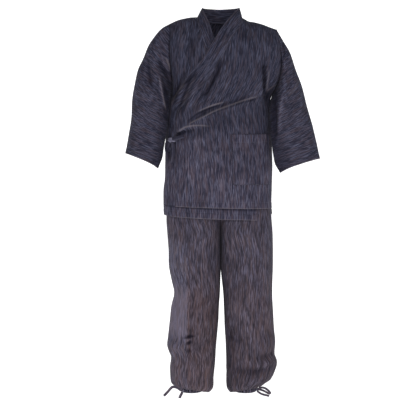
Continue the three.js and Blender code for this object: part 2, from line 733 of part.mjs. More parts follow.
function ringWall(middle, half, bottom, top, steps, thickness) {
  const grid = [bottom, (bottom + top) / 2, top].map((z) => {
    const row = [];
    for (let i = 0; i < steps; i += 1) {
      const turn = (2 * Math.PI * i) / steps;
      const ripple = z > bottom && z < top ? 1 : 0;
      row.push(new THREE.Vector3(
        middle.x + (half.x + ripple) * Math.sin(turn),
        middle.y - (half.y + ripple) * Math.cos(turn),
        z,
      ));
    }
    return row;
  });
  const centre = (point) => new THREE.Vector3(middle.x, middle.y, point.z);
  return wall(grid, thickness, { around: true, centre });
}

add('waistband', ringWall({ x: -1, y: 0 }, { x: 164, y: 97 }, WAIST + SEAM_GAP, WAIST + 32, 28, CLOTH), TROUSER_COLOUR);
for (const leg of ['left', 'right']) {
  const { x, bottom, top } = CASING[leg];
  add(`ankle_casing_${leg}`, ringWall({ x, y: CASING_Y }, CASING_HALF, bottom, top, 20, CLOTH), TROUSER_COLOUR);
}

// Ties: each knot is a small rounded bundle, and each loop or end is a flat tape cut at the knot's face.
const wasm = await Module();
wasm.setup();

function toSolid(geometry) {
  const plain = new THREE.BufferGeometry();
  plain.setAttribute('position', geometry.attributes.position.clone());
  plain.setIndex(geometry.index);
  const merged = mergeVertices(plain, 1e-4);
  return new wasm.Manifold(new wasm.Mesh({
    numProp: 3,
    vertProperties: merged.attributes.position.array,
    triVerts: new Uint32Array(merged.index.array),
  }));
}

function cutAway(geometry, tool) {
  const mesh = toSolid(geometry).subtract(toSolid(tool)).getMesh();
  const cut = new THREE.BufferGeometry();
  cut.setAttribute('position', new THREE.BufferAttribute(mesh.vertProperties, 3));
  cut.setIndex(new THREE.BufferAttribute(mesh.triVerts, 1));
  cut.computeVertexNormals();
  return cut;
}

function knotGeometry({ at, half, facing }, grow = 0) {
  const ball = new THREE.SphereGeometry(1, 10, 6);
  ball.scale(half.across + grow, half.out + grow, half.up + grow);
  ball.rotateZ(Math.atan2(facing.y, facing.x) - Math.PI / 2);
  ball.translate(at.x, at.y, at.z);
  return ball;
}

// A flat tape along a path. Its wide side lies along the direction given.
function tapeGeometry(points, width, thickness, wide) {
  const path = new THREE.CatmullRomCurve3(points.map((p) => new THREE.Vector3(...p)));
  const steps = Math.max(8, Math.round(path.getLength() / width));
  const { normals, binormals } = path.computeFrenetFrames(steps, false);
  const alongNormal = Math.abs(normals[0].dot(wide)) > Math.abs(binormals[0].dot(wide));
  const corners = [];
  for (let i = 0; i < 8; i += 1) {
    const turn = ((i + 0.5) * Math.PI) / 4;
    const broad = (width / 2) * Math.cos(turn);
    const thin = (thickness / 2) * Math.sin(turn);
    corners.push(alongNormal ? new THREE.Vector2(broad, thin) : new THREE.Vector2(thin, broad));
  }
  const geometry = new THREE.ExtrudeGeometry(new THREE.Shape(corners), { steps, extrudePath: path, bevelEnabled: false });
  geometry.deleteAttribute('normal');
  geometry.deleteAttribute('uv');
  return mergeVertices(geometry, 1e-4);
}

const UP = new THREE.Vector3(0, 0, 1);
const SIDEWAYS = new THREE.Vector3(1, 0, 0);
const KNOT_GAP = 0.3;

function addTie(prefix, suffix, knot, width, tapes) {
  add(`${prefix}_knot${suffix}`, knotGeometry(knot), TIE_COLOUR);
  for (const [name, wide, points] of tapes) {
    const tape = tapeGeometry(points, width, TAPE_THICKNESS, wide);
    add(`${prefix}_${name}${suffix}`, cutAway(tape, knotGeometry(knot, KNOT_GAP)), TIE_COLOUR);
  }
}

// The side tie's bow sits on the end of the collar. Its tapes are given across, out from the cloth, and up.
const SIDE_KNOT = { x: -171, z: -449, across: 15, out: 7, up: 10 };
const onCloth = (points) => points.map(([across, out, up]) => (
  onFront('outer', SIDE_KNOT.x + across, SIDE_KNOT.z + up, out).toArray()));
const knotAt = onFront('outer', SIDE_KNOT.x, SIDE_KNOT.z, SIDE_KNOT.out + COLLAR_OUT + KNOT_GAP);
const knotFacing = knotAt.clone().sub(onFront('outer', SIDE_KNOT.x, SIDE_KNOT.z));
addTie('tie', '', { at: knotAt, half: SIDE_KNOT, facing: knotFacing }, SIDE_TAPE, [
  ['loop_front', UP, onCloth([[6, 10, 4], [20, 14, 8], [34, 13, 13], [42, 9, 14], [34, 5, 12], [20, 5, 6], [6, 7, 2]])],
  ['loop_back', UP, onCloth([[-2, 10, -4], [-6, 13, -16], [-6, 12, -30], [-3, 8, -37], [1, 4, -30], [3, 4, -16], [2, 6, -4]])],
  ['end_front', SIDEWAYS, onCloth([[5, 8, -5], [9, 10, -14], [10, 9, -36], [7, 8, -58], [3, 7, -84]])],
  ['end_back', SIDEWAYS, onCloth([[-8, 8, -2], [-13, 11, -12], [-13, 12, -32], [-11, 11, -52], [-12, 10, -72]])],
]);

// The ankle tapes come out of the casings and are tied outside.
const ANKLE_KNOT = { across: 8, out: 5, up: 7 };
function ankleKnot(leg, turn, z) {
  const surface = new THREE.Vector3(
    CASING[leg].x + CASING_HALF.x * Math.sin(turn),
    CASING_Y - CASING_HALF.y * Math.cos(turn),
    z,
  );
  const facing = new THREE.Vector3(Math.sin(turn) / CASING_HALF.x, -Math.cos(turn) / CASING_HALF.y, 0).normalize();
  const at = surface.addScaledVector(facing, ANKLE_KNOT.out + KNOT_GAP + 1);
  return { at, half: ANKLE_KNOT, facing };
}
addTie('ankle', '_right', ankleKnot('right', -0.76, -1378), ANKLE_TAPE, [
  ['end', UP, [[-140, -25, -1375], [-147, -38, -1371], [-158, -44, -1362], [-171, -38, -1358], [-184, -32, -1363],
    [-195, -28, -1373], [-203, -25, -1386]]],
  ['loop', SIDEWAYS, [[-139, -24, -1383], [-143, -28, -1390], [-147, -30, -1398], [-149, -27, -1404], [-147, -23, -1399],
    [-143, -22, -1391], [-139, -20, -1384]]],
]);
addTie('ankle', '_left', ankleKnot('left', 1.25, -1377), ANKLE_TAPE, [
  ['loop', UP, [[141, -4, -1375], [153, -8, -1369], [166, -10, -1370], [178, -9, -1378], [187, -6, -1389], [182, -1, -1392],
    [170, 1, -1386], [156, 3, -1380], [142, 3, -1377]]],
  ['end', UP, [[139, -4, -1382], [148, -13, -1388], [160, -16, -1393], [172, -16, -1396], [183, -14, -1399]]],
]);

export default samue;
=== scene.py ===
import math
import bpy
import numpy as np
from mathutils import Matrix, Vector


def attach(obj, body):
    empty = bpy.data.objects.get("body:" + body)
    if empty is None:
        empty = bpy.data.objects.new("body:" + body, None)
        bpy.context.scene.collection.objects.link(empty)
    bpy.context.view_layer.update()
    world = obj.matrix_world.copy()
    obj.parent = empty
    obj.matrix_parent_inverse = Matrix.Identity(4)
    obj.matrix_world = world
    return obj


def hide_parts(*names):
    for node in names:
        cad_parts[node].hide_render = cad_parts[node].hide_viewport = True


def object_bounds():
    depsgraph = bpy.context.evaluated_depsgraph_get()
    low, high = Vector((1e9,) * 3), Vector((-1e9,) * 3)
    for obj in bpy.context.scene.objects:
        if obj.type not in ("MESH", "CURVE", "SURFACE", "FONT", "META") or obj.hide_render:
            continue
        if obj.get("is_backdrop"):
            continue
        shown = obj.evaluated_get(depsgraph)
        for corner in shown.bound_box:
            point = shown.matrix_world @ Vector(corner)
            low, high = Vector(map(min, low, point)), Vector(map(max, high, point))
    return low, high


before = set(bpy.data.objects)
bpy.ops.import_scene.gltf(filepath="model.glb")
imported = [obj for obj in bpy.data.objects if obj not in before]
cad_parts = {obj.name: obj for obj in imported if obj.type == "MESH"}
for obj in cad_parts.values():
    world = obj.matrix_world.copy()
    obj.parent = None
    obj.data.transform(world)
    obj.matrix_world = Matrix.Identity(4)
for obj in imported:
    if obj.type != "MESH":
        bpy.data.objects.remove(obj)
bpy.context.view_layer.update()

# The dressed samue: every cut piece as a thin cloth shell, with its seams, hems, stitches and ties.
# Lengths are in millimetres until a mesh is made. The origin is on the shoulder line at the neck.
# In tables, left and right are the viewer's; in names they are the wearer's.

METRES = 0.001


# Camera: in front of the wearer's hips, a little above, tilted down.

CAMERA_AT = (-0.044, -6.0, -0.259)
CAMERA_TILT = 4.21
CAMERA_LENS = 141.14

lens = bpy.data.cameras.new("camera")
lens.lens = CAMERA_LENS
lens.sensor_width = 36
camera = bpy.data.objects.new("camera", lens)
camera.location = CAMERA_AT
camera.rotation_euler = (math.radians(90 - CAMERA_TILT), 0, 0)
bpy.context.scene.collection.objects.link(camera)
bpy.context.scene.camera = camera


# Small helpers

def smooth(value):
    t = np.clip(value, 0, 1)
    return t * t * (3 - 2 * t)


def mix(a, b, t):
    return a + (b - a) * t


def unit(vectors):
    length = np.linalg.norm(vectors, axis=-1, keepdims=True)
    return vectors / np.maximum(length, 1e-9)


def run_along(line):
    """The distance from a line's start to each of its points."""
    return np.concatenate([[0], np.cumsum(np.linalg.norm(np.diff(line, axis=0), axis=-1))])


def grid_cells(rows, columns, around=False):
    """The rows and columns of the four corners of each cell of a grid."""
    across = columns if around else columns - 1
    r, c = np.meshgrid(np.arange(rows - 1), np.arange(across), indexing="ij")
    return [(r, c), (r, c + 1), (r + 1, c + 1), (r + 1, c)]


def cell_faces(cells, columns):
    return np.stack([r * columns + c % columns for r, c in cells], axis=-1).reshape(-1, 4)


class Table:
    """Rows of numbers, read as smooth curves by their first column."""

    def __init__(self, names, rows):
        self.names = names.split()
        self.rows = np.array(rows, float)

    def __call__(self, name, at):
        x = self.rows[:, 0]
        y = self.rows[:, self.names.index(name)]
        at = np.asarray(at, float)
        if x[-1] < x[0]:
            x = -x
            at = -at
        last = len(x) - 1
        before = np.maximum(0, np.arange(len(x)) - 1)
        after = np.minimum(last, np.arange(len(x)) + 1)
        slope = (y[after] - y[before]) / (x[after] - x[before])
        at = np.clip(at, x[0], x[-1])
        i = np.clip(np.searchsorted(x, at, side="left") - 1, 0, last - 1)
        span = x[i + 1] - x[i]
        t = (at - x[i]) / span
        t2 = t * t
        t3 = t2 * t
        rise = (2 * t3 - 3 * t2 + 1) * y[i] + (t3 - 2 * t2 + t) * span * slope[i]
        return rise + (3 * t2 - 2 * t3) * y[i + 1] + (t3 - t2) * span * slope[i + 1]


def rounded_line(points, steps=6):
    """A smooth line through points, with the same number of steps between each two."""
    p = np.array(points, float)
    padded = np.vstack([2 * p[0] - p[1], p, 2 * p[-1] - p[-2]])
    out = []
    for i in range(len(p) - 1):
        a, b, c, d = padded[i:i + 4]
        for t in np.arange(steps) / steps:
            bend = (2 * a - 5 * b + 4 * c - d) * t * t + (3 * b - a - 3 * c + d) * t ** 3
            out.append(0.5 * (2 * b + (c - a) * t + bend))
    out.append(p[-1])
    return np.array(out)


# Folds: soft ridges (height above 0) and troughs (below 0) along lines seen from the front.
# With lean, the side to the left of the line's direction is steeper than the other.

class Fold:
    def __init__(self, height, width, *line, lean=0.0, taper=4.0):
        self.height = height
        self.width = width
        self.line = rounded_line(line)
        self.lean = lean
        self.taper = taper

    def __call__(self, x, z):
        total = np.zeros(x.shape)
        reach = 3 * self.width
        low = self.line.min(axis=0) - reach
        high = self.line.max(axis=0) + reach
        near = (x > low[0]) & (x < high[0]) & (z > low[1]) & (z < high[1])
        if not near.any():
            return total
        px = x[near][:, None]
        pz = z[near][:, None]
        start = self.line[:-1]
        along = self.line[1:] - start
        t = (px - start[:, 0]) * along[:, 0] + (pz - start[:, 1]) * along[:, 1]
        t = np.clip(t / (along ** 2).sum(axis=1), 0, 1)
        gx = px - start[:, 0] - t * along[:, 0]
        gz = pz - start[:, 1] - t * along[:, 1]
        gap = np.hypot(gx, gz)
        best = gap.argmin(axis=1)
        pick = (np.arange(len(best)), best)
        share = (best + t[pick]) / len(start)
        side = np.sign(along[best, 0] * gz[pick] - along[best, 1] * gx[pick])
        width = self.width * (1 - self.lean * side)
        ends = smooth(share * self.taper + 0.25) * smooth((1 - share) * self.taper + 0.25)
        total[near] = self.height * ends * np.exp(-(gap[pick] / width) ** 2)
        return total


def fold_height(folds, x, z):
    total = np.zeros(x.shape)
    for fold in folds:
        total = total + fold(x, z)
    return total


def line_marks(folds, grid):
    """How strong rubbed or shaded lines are at each point of a grid."""
    return fold_height(folds, grid[..., 0], grid[..., 2])


def creasing(seed, u, v, direction, size=70.0, count=12, spread=0.5):
    """Faint uneven waves of the cloth, along one main direction in degrees. About 1 at most."""
    chance = np.random.RandomState(seed)
    total = np.zeros(np.shape(u))
    weight = 0
    for _ in range(count):
        turn = math.radians(direction) + chance.normal(0, spread)
        length = size * chance.uniform(0.45, 1.6)
        phase = chance.uniform(0, 2 * math.pi)
        across = -u * math.sin(turn) + v * math.cos(turn)
        along = u * math.cos(turn) + v * math.sin(turn)
        swing = np.sin(2 * math.pi * along / (length * 3.7) + phase * 3)
        total = total + length * np.sin(2 * math.pi * across / length + phase + 1.3 * swing)
        weight += length * 0.45
    return total / weight


# Cloth and seams

CLOTH = 2
COLLAR_CLOTH = 3
COLLAR_OUT = 1.2
POCKET_CLOTH = 1.6
POCKET_GAP = 0.9
SEAM_GAP = 0.4
SLEEVE_GAP = 0.5
SIDE_WIDTH = 11
ANKLE_WIDTH = {"right": 10, "left": 8}
TAPE_THICKNESS = 2.4
LAYER = 4
LAYER_BLEND = 0.35
MESH = 3.4
BACK_MESH = 6
HEM_FOLD = 21

# Jacket
SHOULDER_BLEND = 250
SECTION_POWER = 0.8
CAP = {"front": (160, 0.62), "back": (80, 0.5)}
ARMHOLE = {"left": 262, "right": 290}
ARMHOLE_HALF_DEPTH = 52
VENT_TOP = 610
VENT_SPREAD = 0.07
NAPE = 19
NAPE_WIDE = 80
NAPE_EDGE = (62, 29)
COLLAR_END = 446
FRONT_EDGE = {"outer": -160, "under": 136}
HEM = {"outer": (688, 700), "under": (738, 722)}
BACK_HEM = 724
# Where the outer front's hem runs across, from the front edge to the side seam.
OUTER_HEM_SPAN = (-135, 150)
# Points inside the jacket, which tell the outer face of the cloth from the inner one.
INSIDE_BODY = np.array([0, 0, -300.0])
INSIDE_NECK = np.array([0, 0, -200.0])

TORSO = Table("level left right front back", [
    [0, 181, 206, 110, 106],
    [60, 183, 216, 110, 106],
    [120, 184, 222, 110, 107],
    [180, 180, 221, 111, 109],
    [230, 175, 214, 112, 110],
    [270, 176, 198, 112, 111],
    [300, 181, 186, 112, 111],
    [345, 189, 184, 112, 110],
    [400, 196, 187, 113, 109],
    [450, 200, 190, 115, 110],
    [540, 202, 193, 122, 116],
    [590, 203, 192, 126, 121],
    [632, 208, 191, 129, 125],
    [690, 208, 190, 133, 130],
    [740, 205, 194, 136, 134],
])

SHOULDER = Table("share left right", [
    [0.36, 0, 0],
    [0.43, 0.5, 7],
    [0.5, 1, 15.5],
    [0.6, 2, 19],
    [0.75, 7, 27],
    [0.87, 13, 36.5],
    [1, 24, 46],
])

ON_CHEST = math.nan
NECKLINE = {
    "outer": Table("level seamX edgeX edgeY edgeZ", [
        [0, 80, 71, 4, 34],
        [15, 79, 60, -22, 24],
        [34, 73, 35, -52, -3],
        [74, 43, 0, -82, -49],
        [107, 25, -17, ON_CHEST, -81],
        [150, 2, -42, ON_CHEST, -119],
        [194, -23, -67, ON_CHEST, -157],
        [250, -66, -113, ON_CHEST, -217],
        [296, -112, -149, ON_CHEST, -266],
        [332, -145, -178, ON_CHEST, -308],
        [376, -155, -184, ON_CHEST, -366],
        [446, -159, -188, ON_CHEST, -446],
    ]),
    "under": Table("level seamX edgeX edgeY edgeZ", [
        [0, -82, -65, 2, 33],
        [15, -80, -57, -24, 14],
        [45, -71, -37, -58, -29],
        [75, -61, -27, -80, -62],
        [110, -48, -16, ON_CHEST, -85],
        [150, -24, 16, ON_CHEST, -121],
        [194, 5, 50, ON_CHEST, -161],
        [250, 50, 92, ON_CHEST, -214],
        [296, 90, 128, ON_CHEST, -262],
        [332, 118, 150, ON_CHEST, -304],
        [376, 130, 158, ON_CHEST, -366],
        [446, 134, 160, ON_CHEST, -446],
    ]),
}

SLEEVE = {
    "right": Table("run outerX outerZ innerX innerZ depth forward", [
        [0, -181, -26, -174, -262, 52, 0],
        [0.07, -213, -44, -175, -281, 54, 4],
        [0.15, -240, -74, -178.5, -303, 57, 9],
        [0.23, -262, -107, -182, -325, 60, 14],
        [0.32, -280, -151, -185, -351, 61, 19],
        [0.41, -300, -194, -188, -377, 62, 24],
        [0.52, -313, -253, -191.5, -411, 62, 29],
        [0.62, -321, -302, -198, -438, 61, 32],
        [0.74, -324, -367, -205, -475, 60, 35],
        [0.86, -334, -430, -210, -507, 60, 37],
        [1, -346, -498, -226, -545, 60, 38],
    ]),
    "left": Table("run outerX outerZ innerX innerZ depth forward", [
        [0, 207, -47, 190, -290, 52, 0],
        [0.1, 233, -91, 182, -318, 56, 8],
        [0.19, 255, -129, 179.5, -345, 59, 15],
        [0.33, 277, -194, 179.5, -386, 60, 24],
        [0.45, 299, -253, 182, -420, 59, 30],
        [0.6, 317, -324, 187, -458, 56, 35],
        [0.75, 337, -395, 193, -498, 52, 38],
        [0.87, 352, -454, 200, -530, 49, 39],
        [1, 365, -517, 219, -561, 47, 40],
    ]),
}
CUFF_DIP = -6
CUFF_CORNER = 6
SLEEVE_LAP = 38
SLEEVE_LAP_BLEND = 4

# Trousers
CENTRE = 3
WAIST = -447
FORK = -800
FORK_START = -640
LEG_END = -1368
GATHERS = 6
GATHER_DEPTH = 5
GATHER_TOP = -1290
LEG_POWER = 0.85
BLOUSE_TOP = -1325
BLOUSE_FOLD = -1360

HIP = Table("z left right front back", [
    [-447, -165, 163, 98, 96],
    [-520, -176, 173, 104, 106],
    [-600, -186, 182, 111, 115],
    [-680, -193, 186.5, 115, 119],
    [-760, -198, 189, 117, 121],
    [-830, -192, 190, 117, 122],
])

LEG = {
    "right": Table("z outer inner front back seam", [
        [-740, -198, 3.4, 118, 121, 0],
        [-800, -194, 3.4, 117, 121, 2],
        [-858, -190, 3.4, 111, 118, 4],
        [-914, -189, 3.4, 106, 113, 5],
        [-969, -179, 2, 100, 107, 6],
        [-1015, -170, 0.5, 95, 103, 7],
        [-1065, -180.5, -3, 92, 101, 8],
        [-1116, -186, -5, 89, 102, 9],
        [-1183, -193.5, -11, 85, 105, 11],
        [-1212, -196, -13.5, 83, 106, 12],
        [-1232, -190.5, -15, 79, 106, 13],
        [-1254, -182, -16, 78, 105, 14],
        [-1295, -186, -19, 79, 102, 16],
        [-1330, -184, -23, 77, 97, 17],
        [-1348, -178, -27, 70, 90, 18],
        [-1360, -162, -44, 52, 78, 18],
        [-1368, -152, -59, 35, 70, 18],
    ]),
    "left": Table("z outer inner front back seam", [
        [-740, 192, 2.7, 118, 121, 0],
        [-800, 195, 2.7, 117, 121, 2],
        [-888, 196.5, 2.7, 109, 116, 4],
        [-930, 196, 3.2, 104, 111, 5],
        [-1015, 194, 12, 95, 104, 7],
        [-1090, 198, 15.5, 90, 101, 8],
        [-1150, 201.5, 18, 87, 103, 10],
        [-1194, 206, 21, 85, 105, 11],
        [-1245, 204, 23, 82, 106, 13],
        [-1272, 213, 23.5, 82, 105, 15],
        [-1300, 208, 23.5, 81, 101, 16],
        [-1335, 189, 25, 74, 94, 17],
        [-1348, 167, 28, 66, 89, 18],
        [-1360, 149, 42, 51, 78, 18],
        [-1368, 141, 49, 35, 70, 18],
    ]),
}
BLOUSE = Table("share drop", [[0, 30], [0.25, 20], [0.5, 10], [0.75, 6], [1, 5]])
CASING_X = {"right": -105.5, "left": 95}
CASING_TOP = -1368.5
CASING_BOTTOM = -1386
CASING_HALF = (40, 48)
CASING_Y = 18
WAISTBAND_HALF = (164, 97)
WAISTBAND_TALL = 32

# The main folds, as the solids have them, and then the finer ones.
JACKET_FRONT_FOLDS = [
    Fold(9, 17, [-160, -425], [-118, -395], [-62, -362], [0, -338], [70, -322]),
    Fold(-8, 18, [-155, -448], [-105, -425], [-50, -396], [20, -368], [60, -352]),
    Fold(6, 16, [-150, -452], [-110, -446], [-60, -436]),
    Fold(-6, 20, [22, -130], [0, -200], [-45, -270], [-90, -330]),
    Fold(5, 18, [50, -120], [35, -210], [0, -290]),
    Fold(-6, 16, [-102, -60], [-106, -130], [-112, -190]),
    Fold(5, 16, [-128, -50], [-134, -130], [-140, -200]),
    Fold(-7, 20, [166, -215], [172, -262], [176, -330]),
    Fold(6, 18, [150, -230], [158, -290]),
    Fold(5, 30, [-120, -500], [-112, -600], [-116, -690]),
    Fold(-4, 28, [-70, -520], [-62, -610], [-66, -690]),
    Fold(5, 32, [0, -480], [10, -590], [6, -690]),
    # the drag from the tie to the chest: a hollow close above the ridge
    Fold(-6, 7, [-112, -386], [-60, -350], [-28, -333], [12, -319], [50, -309], [90, -298],
         lean=-0.3, taper=5),
    Fold(9, 5, [-108, -394], [-51, -360], [-20, -344], [35, -326], [78, -312], [112, -300],
         lean=0.3, taper=6),
    Fold(7, 6, [-150, -421], [-122, -406], [-95, -398], [-66, -402], lean=0.3),
    Fold(-9, 7, [-150, -433], [-128, -418], [-98, -411]),
    Fold(-9, 5, [-161, -431], [-143, -421], [-122, -412], taper=6),
    # from the collar's end down the chest
    Fold(-8, 8, [12, -146], [-4, -184], [-22, -224], [-46, -270], [-74, -296], lean=0.3),
    Fold(-6, 9, [-104, -74], [-101, -110], [-99, -150]),
    Fold(7, 9, [-106, -200], [-132, -242], [-154, -290]),
    Fold(-7, 8, [-126, -196], [-146, -240], [-166, -300]),
    Fold(-8, 9, [-92, -206], [-108, -246], [-130, -300], [-142, -352]),
    Fold(6, 10, [-72, -222], [-94, -276], [-122, -336]),
    # the pleat at the wearer's left armpit
    Fold(-18, 6.5, [157, -174], [159, -225], [161, -285], lean=-0.3, taper=6),
    Fold(8, 5.5, [171, -180], [173, -225], [166, -266], lean=0.25, taper=6),
    Fold(-7, 12, [164, -300], [180, -286], [204, -262], lean=0.4, taper=6),
    Fold(3, 18, [120, -190], [130, -250], [128, -310]),
    Fold(-3, 22, [90, -120], [98, -200], [96, -280]),
    # faint drags on the skirt
    Fold(-2.5, 10, [-60, -462], [-33, -476], [-6, -488]),
    Fold(2.5, 12, [-80, -470], [-40, -490], [0, -506]),
    Fold(-2, 12, [30, -468], [62, -482], [96, -500]),
    Fold(-1.8, 12, [-50, -534], [-20, -538], [24, -534]),
    Fold(-1.8, 14, [30, -604], [90, -610], [156, -612]),
    Fold(-3, 20, [-128, -560], [-120, -630], [-124, -690]),
    Fold(2.5, 22, [60, -520], [70, -600], [66, -690]),
    Fold(-2.5, 20, [116, -480], [124, -570], [120, -690]),
]
# Painted highlights along the sharpest folds.
RIDGE_HIGHLIGHTS_FRONT = [
    Fold(0.95, 2.2, [-117, -391], [-86, -374], [-59, -361], [-20, -341], [35, -321], [84, -304], [134, -290],
         taper=6),
    Fold(0.8, 2.6, [-156, -419], [-123, -399], [-80, -394], [-37, -397]),
    Fold(0.9, 2.4, [-84, -345], [-50, -330], [-20, -319], [14, -310]),
    Fold(0.5, 2.6, [179, -190], [173, -232], [167, -270]),
    Fold(0.4, 2.6, [169, -270], [186, -258], [208, -244]),
    Fold(0.6, 2.6, [-128, -242], [-152, -271], [-170, -302], [-178, -322]),
    Fold(0.35, 2.6, [-92, -216], [-108, -252], [-134, -316]),
]
# Where shade is painted along a sharp crease.
SHADED_FRONT = [
    Fold(1.9, 5.0, [-106, -208], [-122, -235], [-140, -258], [-160, -284], [-176, -312], taper=6),
    Fold(1.6, 4.4, [-87, -190], [-100, -219], [-114, -246], [-126, -275], [-139, -307],
         [-148, -334], [-158, -368]),
    Fold(0.9, 3.8, [13, -158], [-10, -207], [-26, -239], [-41, -271], [-55, -311]),
    Fold(1.2, 3.2, [-122, -384], [-95, -361], [-73, -347], [-50, -337], [-28, -328], [0, -321]),
    Fold(1.6, 3.4, [-60, -368], [-22, -348], [35, -328], [86, -311], [134, -297], taper=6),
    Fold(1.7, 4.6, [-160, -431], [-143, -421], [-127, -411], taper=6),
    Fold(1.4, 4.6, [-153, -438], [-137, -441]),
]
# The same painted shade on the sleeves.
SHADED_SLEEVES = {
    "right": [Fold(1.2, 9, [-212, -216], [-202, -256], [-192, -300], [-184, -338])],
    "left": [],
}
# Painted highlights along sharp folds of the sleeves.
RIDGE_HIGHLIGHTS_SLEEVES = {
    "right": [
        Fold(0.8, 3.0, [-196, -152], [-186, -176], [-179, -198]),
        Fold(0.5, 2.6, [-220, -222], [-211, -268], [-196, -340]),
    ],
    "left": [
        Fold(0.3, 4.0, [286, -232], [268, -262], [246, -288]),
    ],
}
JACKET_BACK_FOLDS = [
    Fold(5, 26, [-120, -150], [-104, -280], [-90, -430]),
    Fold(-5, 24, [-60, -200], [-56, -330], [-62, -470]),
    Fold(5, 26, [116, -160], [100, -290], [92, -440]),
    Fold(-5, 24, [52, -220], [58, -350], [50, -480]),
    Fold(6, 30, [-130, -470], [-118, -590], [-124, -720]),
    Fold(6, 30, [96, -480], [108, -600], [104, -720]),
    Fold(-6, 22, [-160, -230], [-120, -330], [-70, -400]),
    Fold(-6, 22, [165, -250], [128, -345], [80, -410]),
    # finer drags from the armholes, over the shoulder blades and at the waist
    Fold(-7, 8, [-172, -190], [-142, -254], [-104, -312], lean=0.3),
    Fold(6, 8, [-164, -178], [-126, -236], [-88, -292]),
    Fold(-5, 7, [-176, -240], [-150, -296], [-118, -344], lean=0.3),
    Fold(-7, 8, [196, -214], [160, -276], [118, -328], lean=-0.3),
    Fold(6, 8, [186, -198], [146, -258], [104, -308]),
    Fold(-5, 7, [188, -262], [160, -312], [130, -352], lean=-0.3),
    Fold(-5, 9, [-96, -78], [-40, -96], [22, -90], [92, -74]),
    Fold(4, 9, [-88, -96], [-34, -114], [26, -108], [86, -92]),
    Fold(-6, 8, [-186, -402], [-124, -428], [-52, -446], [10, -444], lean=0.3),
    Fold(6, 8, [-178, -388], [-116, -412], [-46, -430], [14, -430]),
    Fold(-5, 8, [180, -386], [122, -416], [60, -424], lean=-0.3),
    Fold(5, 8, [172, -372], [114, -400], [56, -408]),
    Fold(-4, 9, [-150, -470], [-84, -486], [-10, -480]),
    Fold(-5, 10, [-52, -520], [-46, -610], [-54, -716]),
    Fold(5, 11, [-34, -530], [-28, -620], [-36, -716]),
    Fold(-4, 10, [58, -540], [66, -630], [60, -716]),
    Fold(4, 11, [78, -540], [86, -630], [80, -716]),
    Fold(-4, 9, [150, -500], [156, -600], [152, -716]),
]
SLEEVE_FOLDS = {
    "right": [
        Fold(7, 12, [-222, -200], [-208, -275], [-197, -360]),
        Fold(-7, 14, [-240, -215], [-226, -290], [-214, -370]),
        Fold(6, 14, [-228, -150], [-200, -172], [-180, -192]),
        Fold(-6, 18, [-268, -150], [-262, -215], [-246, -275]),
        Fold(5, 18, [-300, -260], [-280, -330], [-272, -420]),
        Fold(-5, 18, [-285, -360], [-268, -410], [-262, -480]),
        Fold(6, 6, [-222, -218], [-212, -268], [-200, -330], lean=-0.3),
        Fold(-9, 7, [-222, -138], [-212, -184], [-189, -226], [-180, -280]),
        Fold(5, 6, [-196, -150], [-187, -176], [-180, -200]),
        Fold(-8, 7, [-262, -156], [-257, -200], [-250, -250]),
        Fold(-7, 8, [-204, -250], [-198, -310], [-196, -380]),
        Fold(3, 10, [-250, -120], [-222, -138], [-192, -150]),
        Fold(-3, 10, [-244, -166], [-216, -186], [-190, -208]),
        Fold(-3, 11, [-262, -300], [-250, -360], [-240, -430]),
        Fold(2.5, 12, [-318, -330], [-306, -400], [-300, -470]),
    ],
    "left": [
        Fold(-9, 14, [212, -190], [206, -262], [204, -330]),
        Fold(6, 14, [228, -200], [224, -280], [218, -360]),
        Fold(-5, 18, [262, -200], [252, -290], [244, -380]),
        Fold(5, 20, [296, -300], [280, -390], [276, -470]),
        Fold(-5, 18, [240, -420], [236, -480], [240, -540]),
        Fold(5, 18, [320, -370], [318, -440], [326, -510]),
        Fold(-10, 8, [200, -262], [201, -340], [200, -430], lean=0.3),
        Fold(7, 7, [219, -280], [215, -350], [213, -430]),
        Fold(-6, 7, [226, -96], [232, -120], [236, -146]),
        Fold(3, 9, [238, -150], [226, -190], [206, -228]),
        Fold(-3, 11, [262, -260], [256, -330], [250, -400]),
        Fold(2.5, 11, [286, -230], [270, -262], [246, -286]),
        Fold(-2.5, 12, [312, -330], [304, -400], [302, -480]),
    ],
}
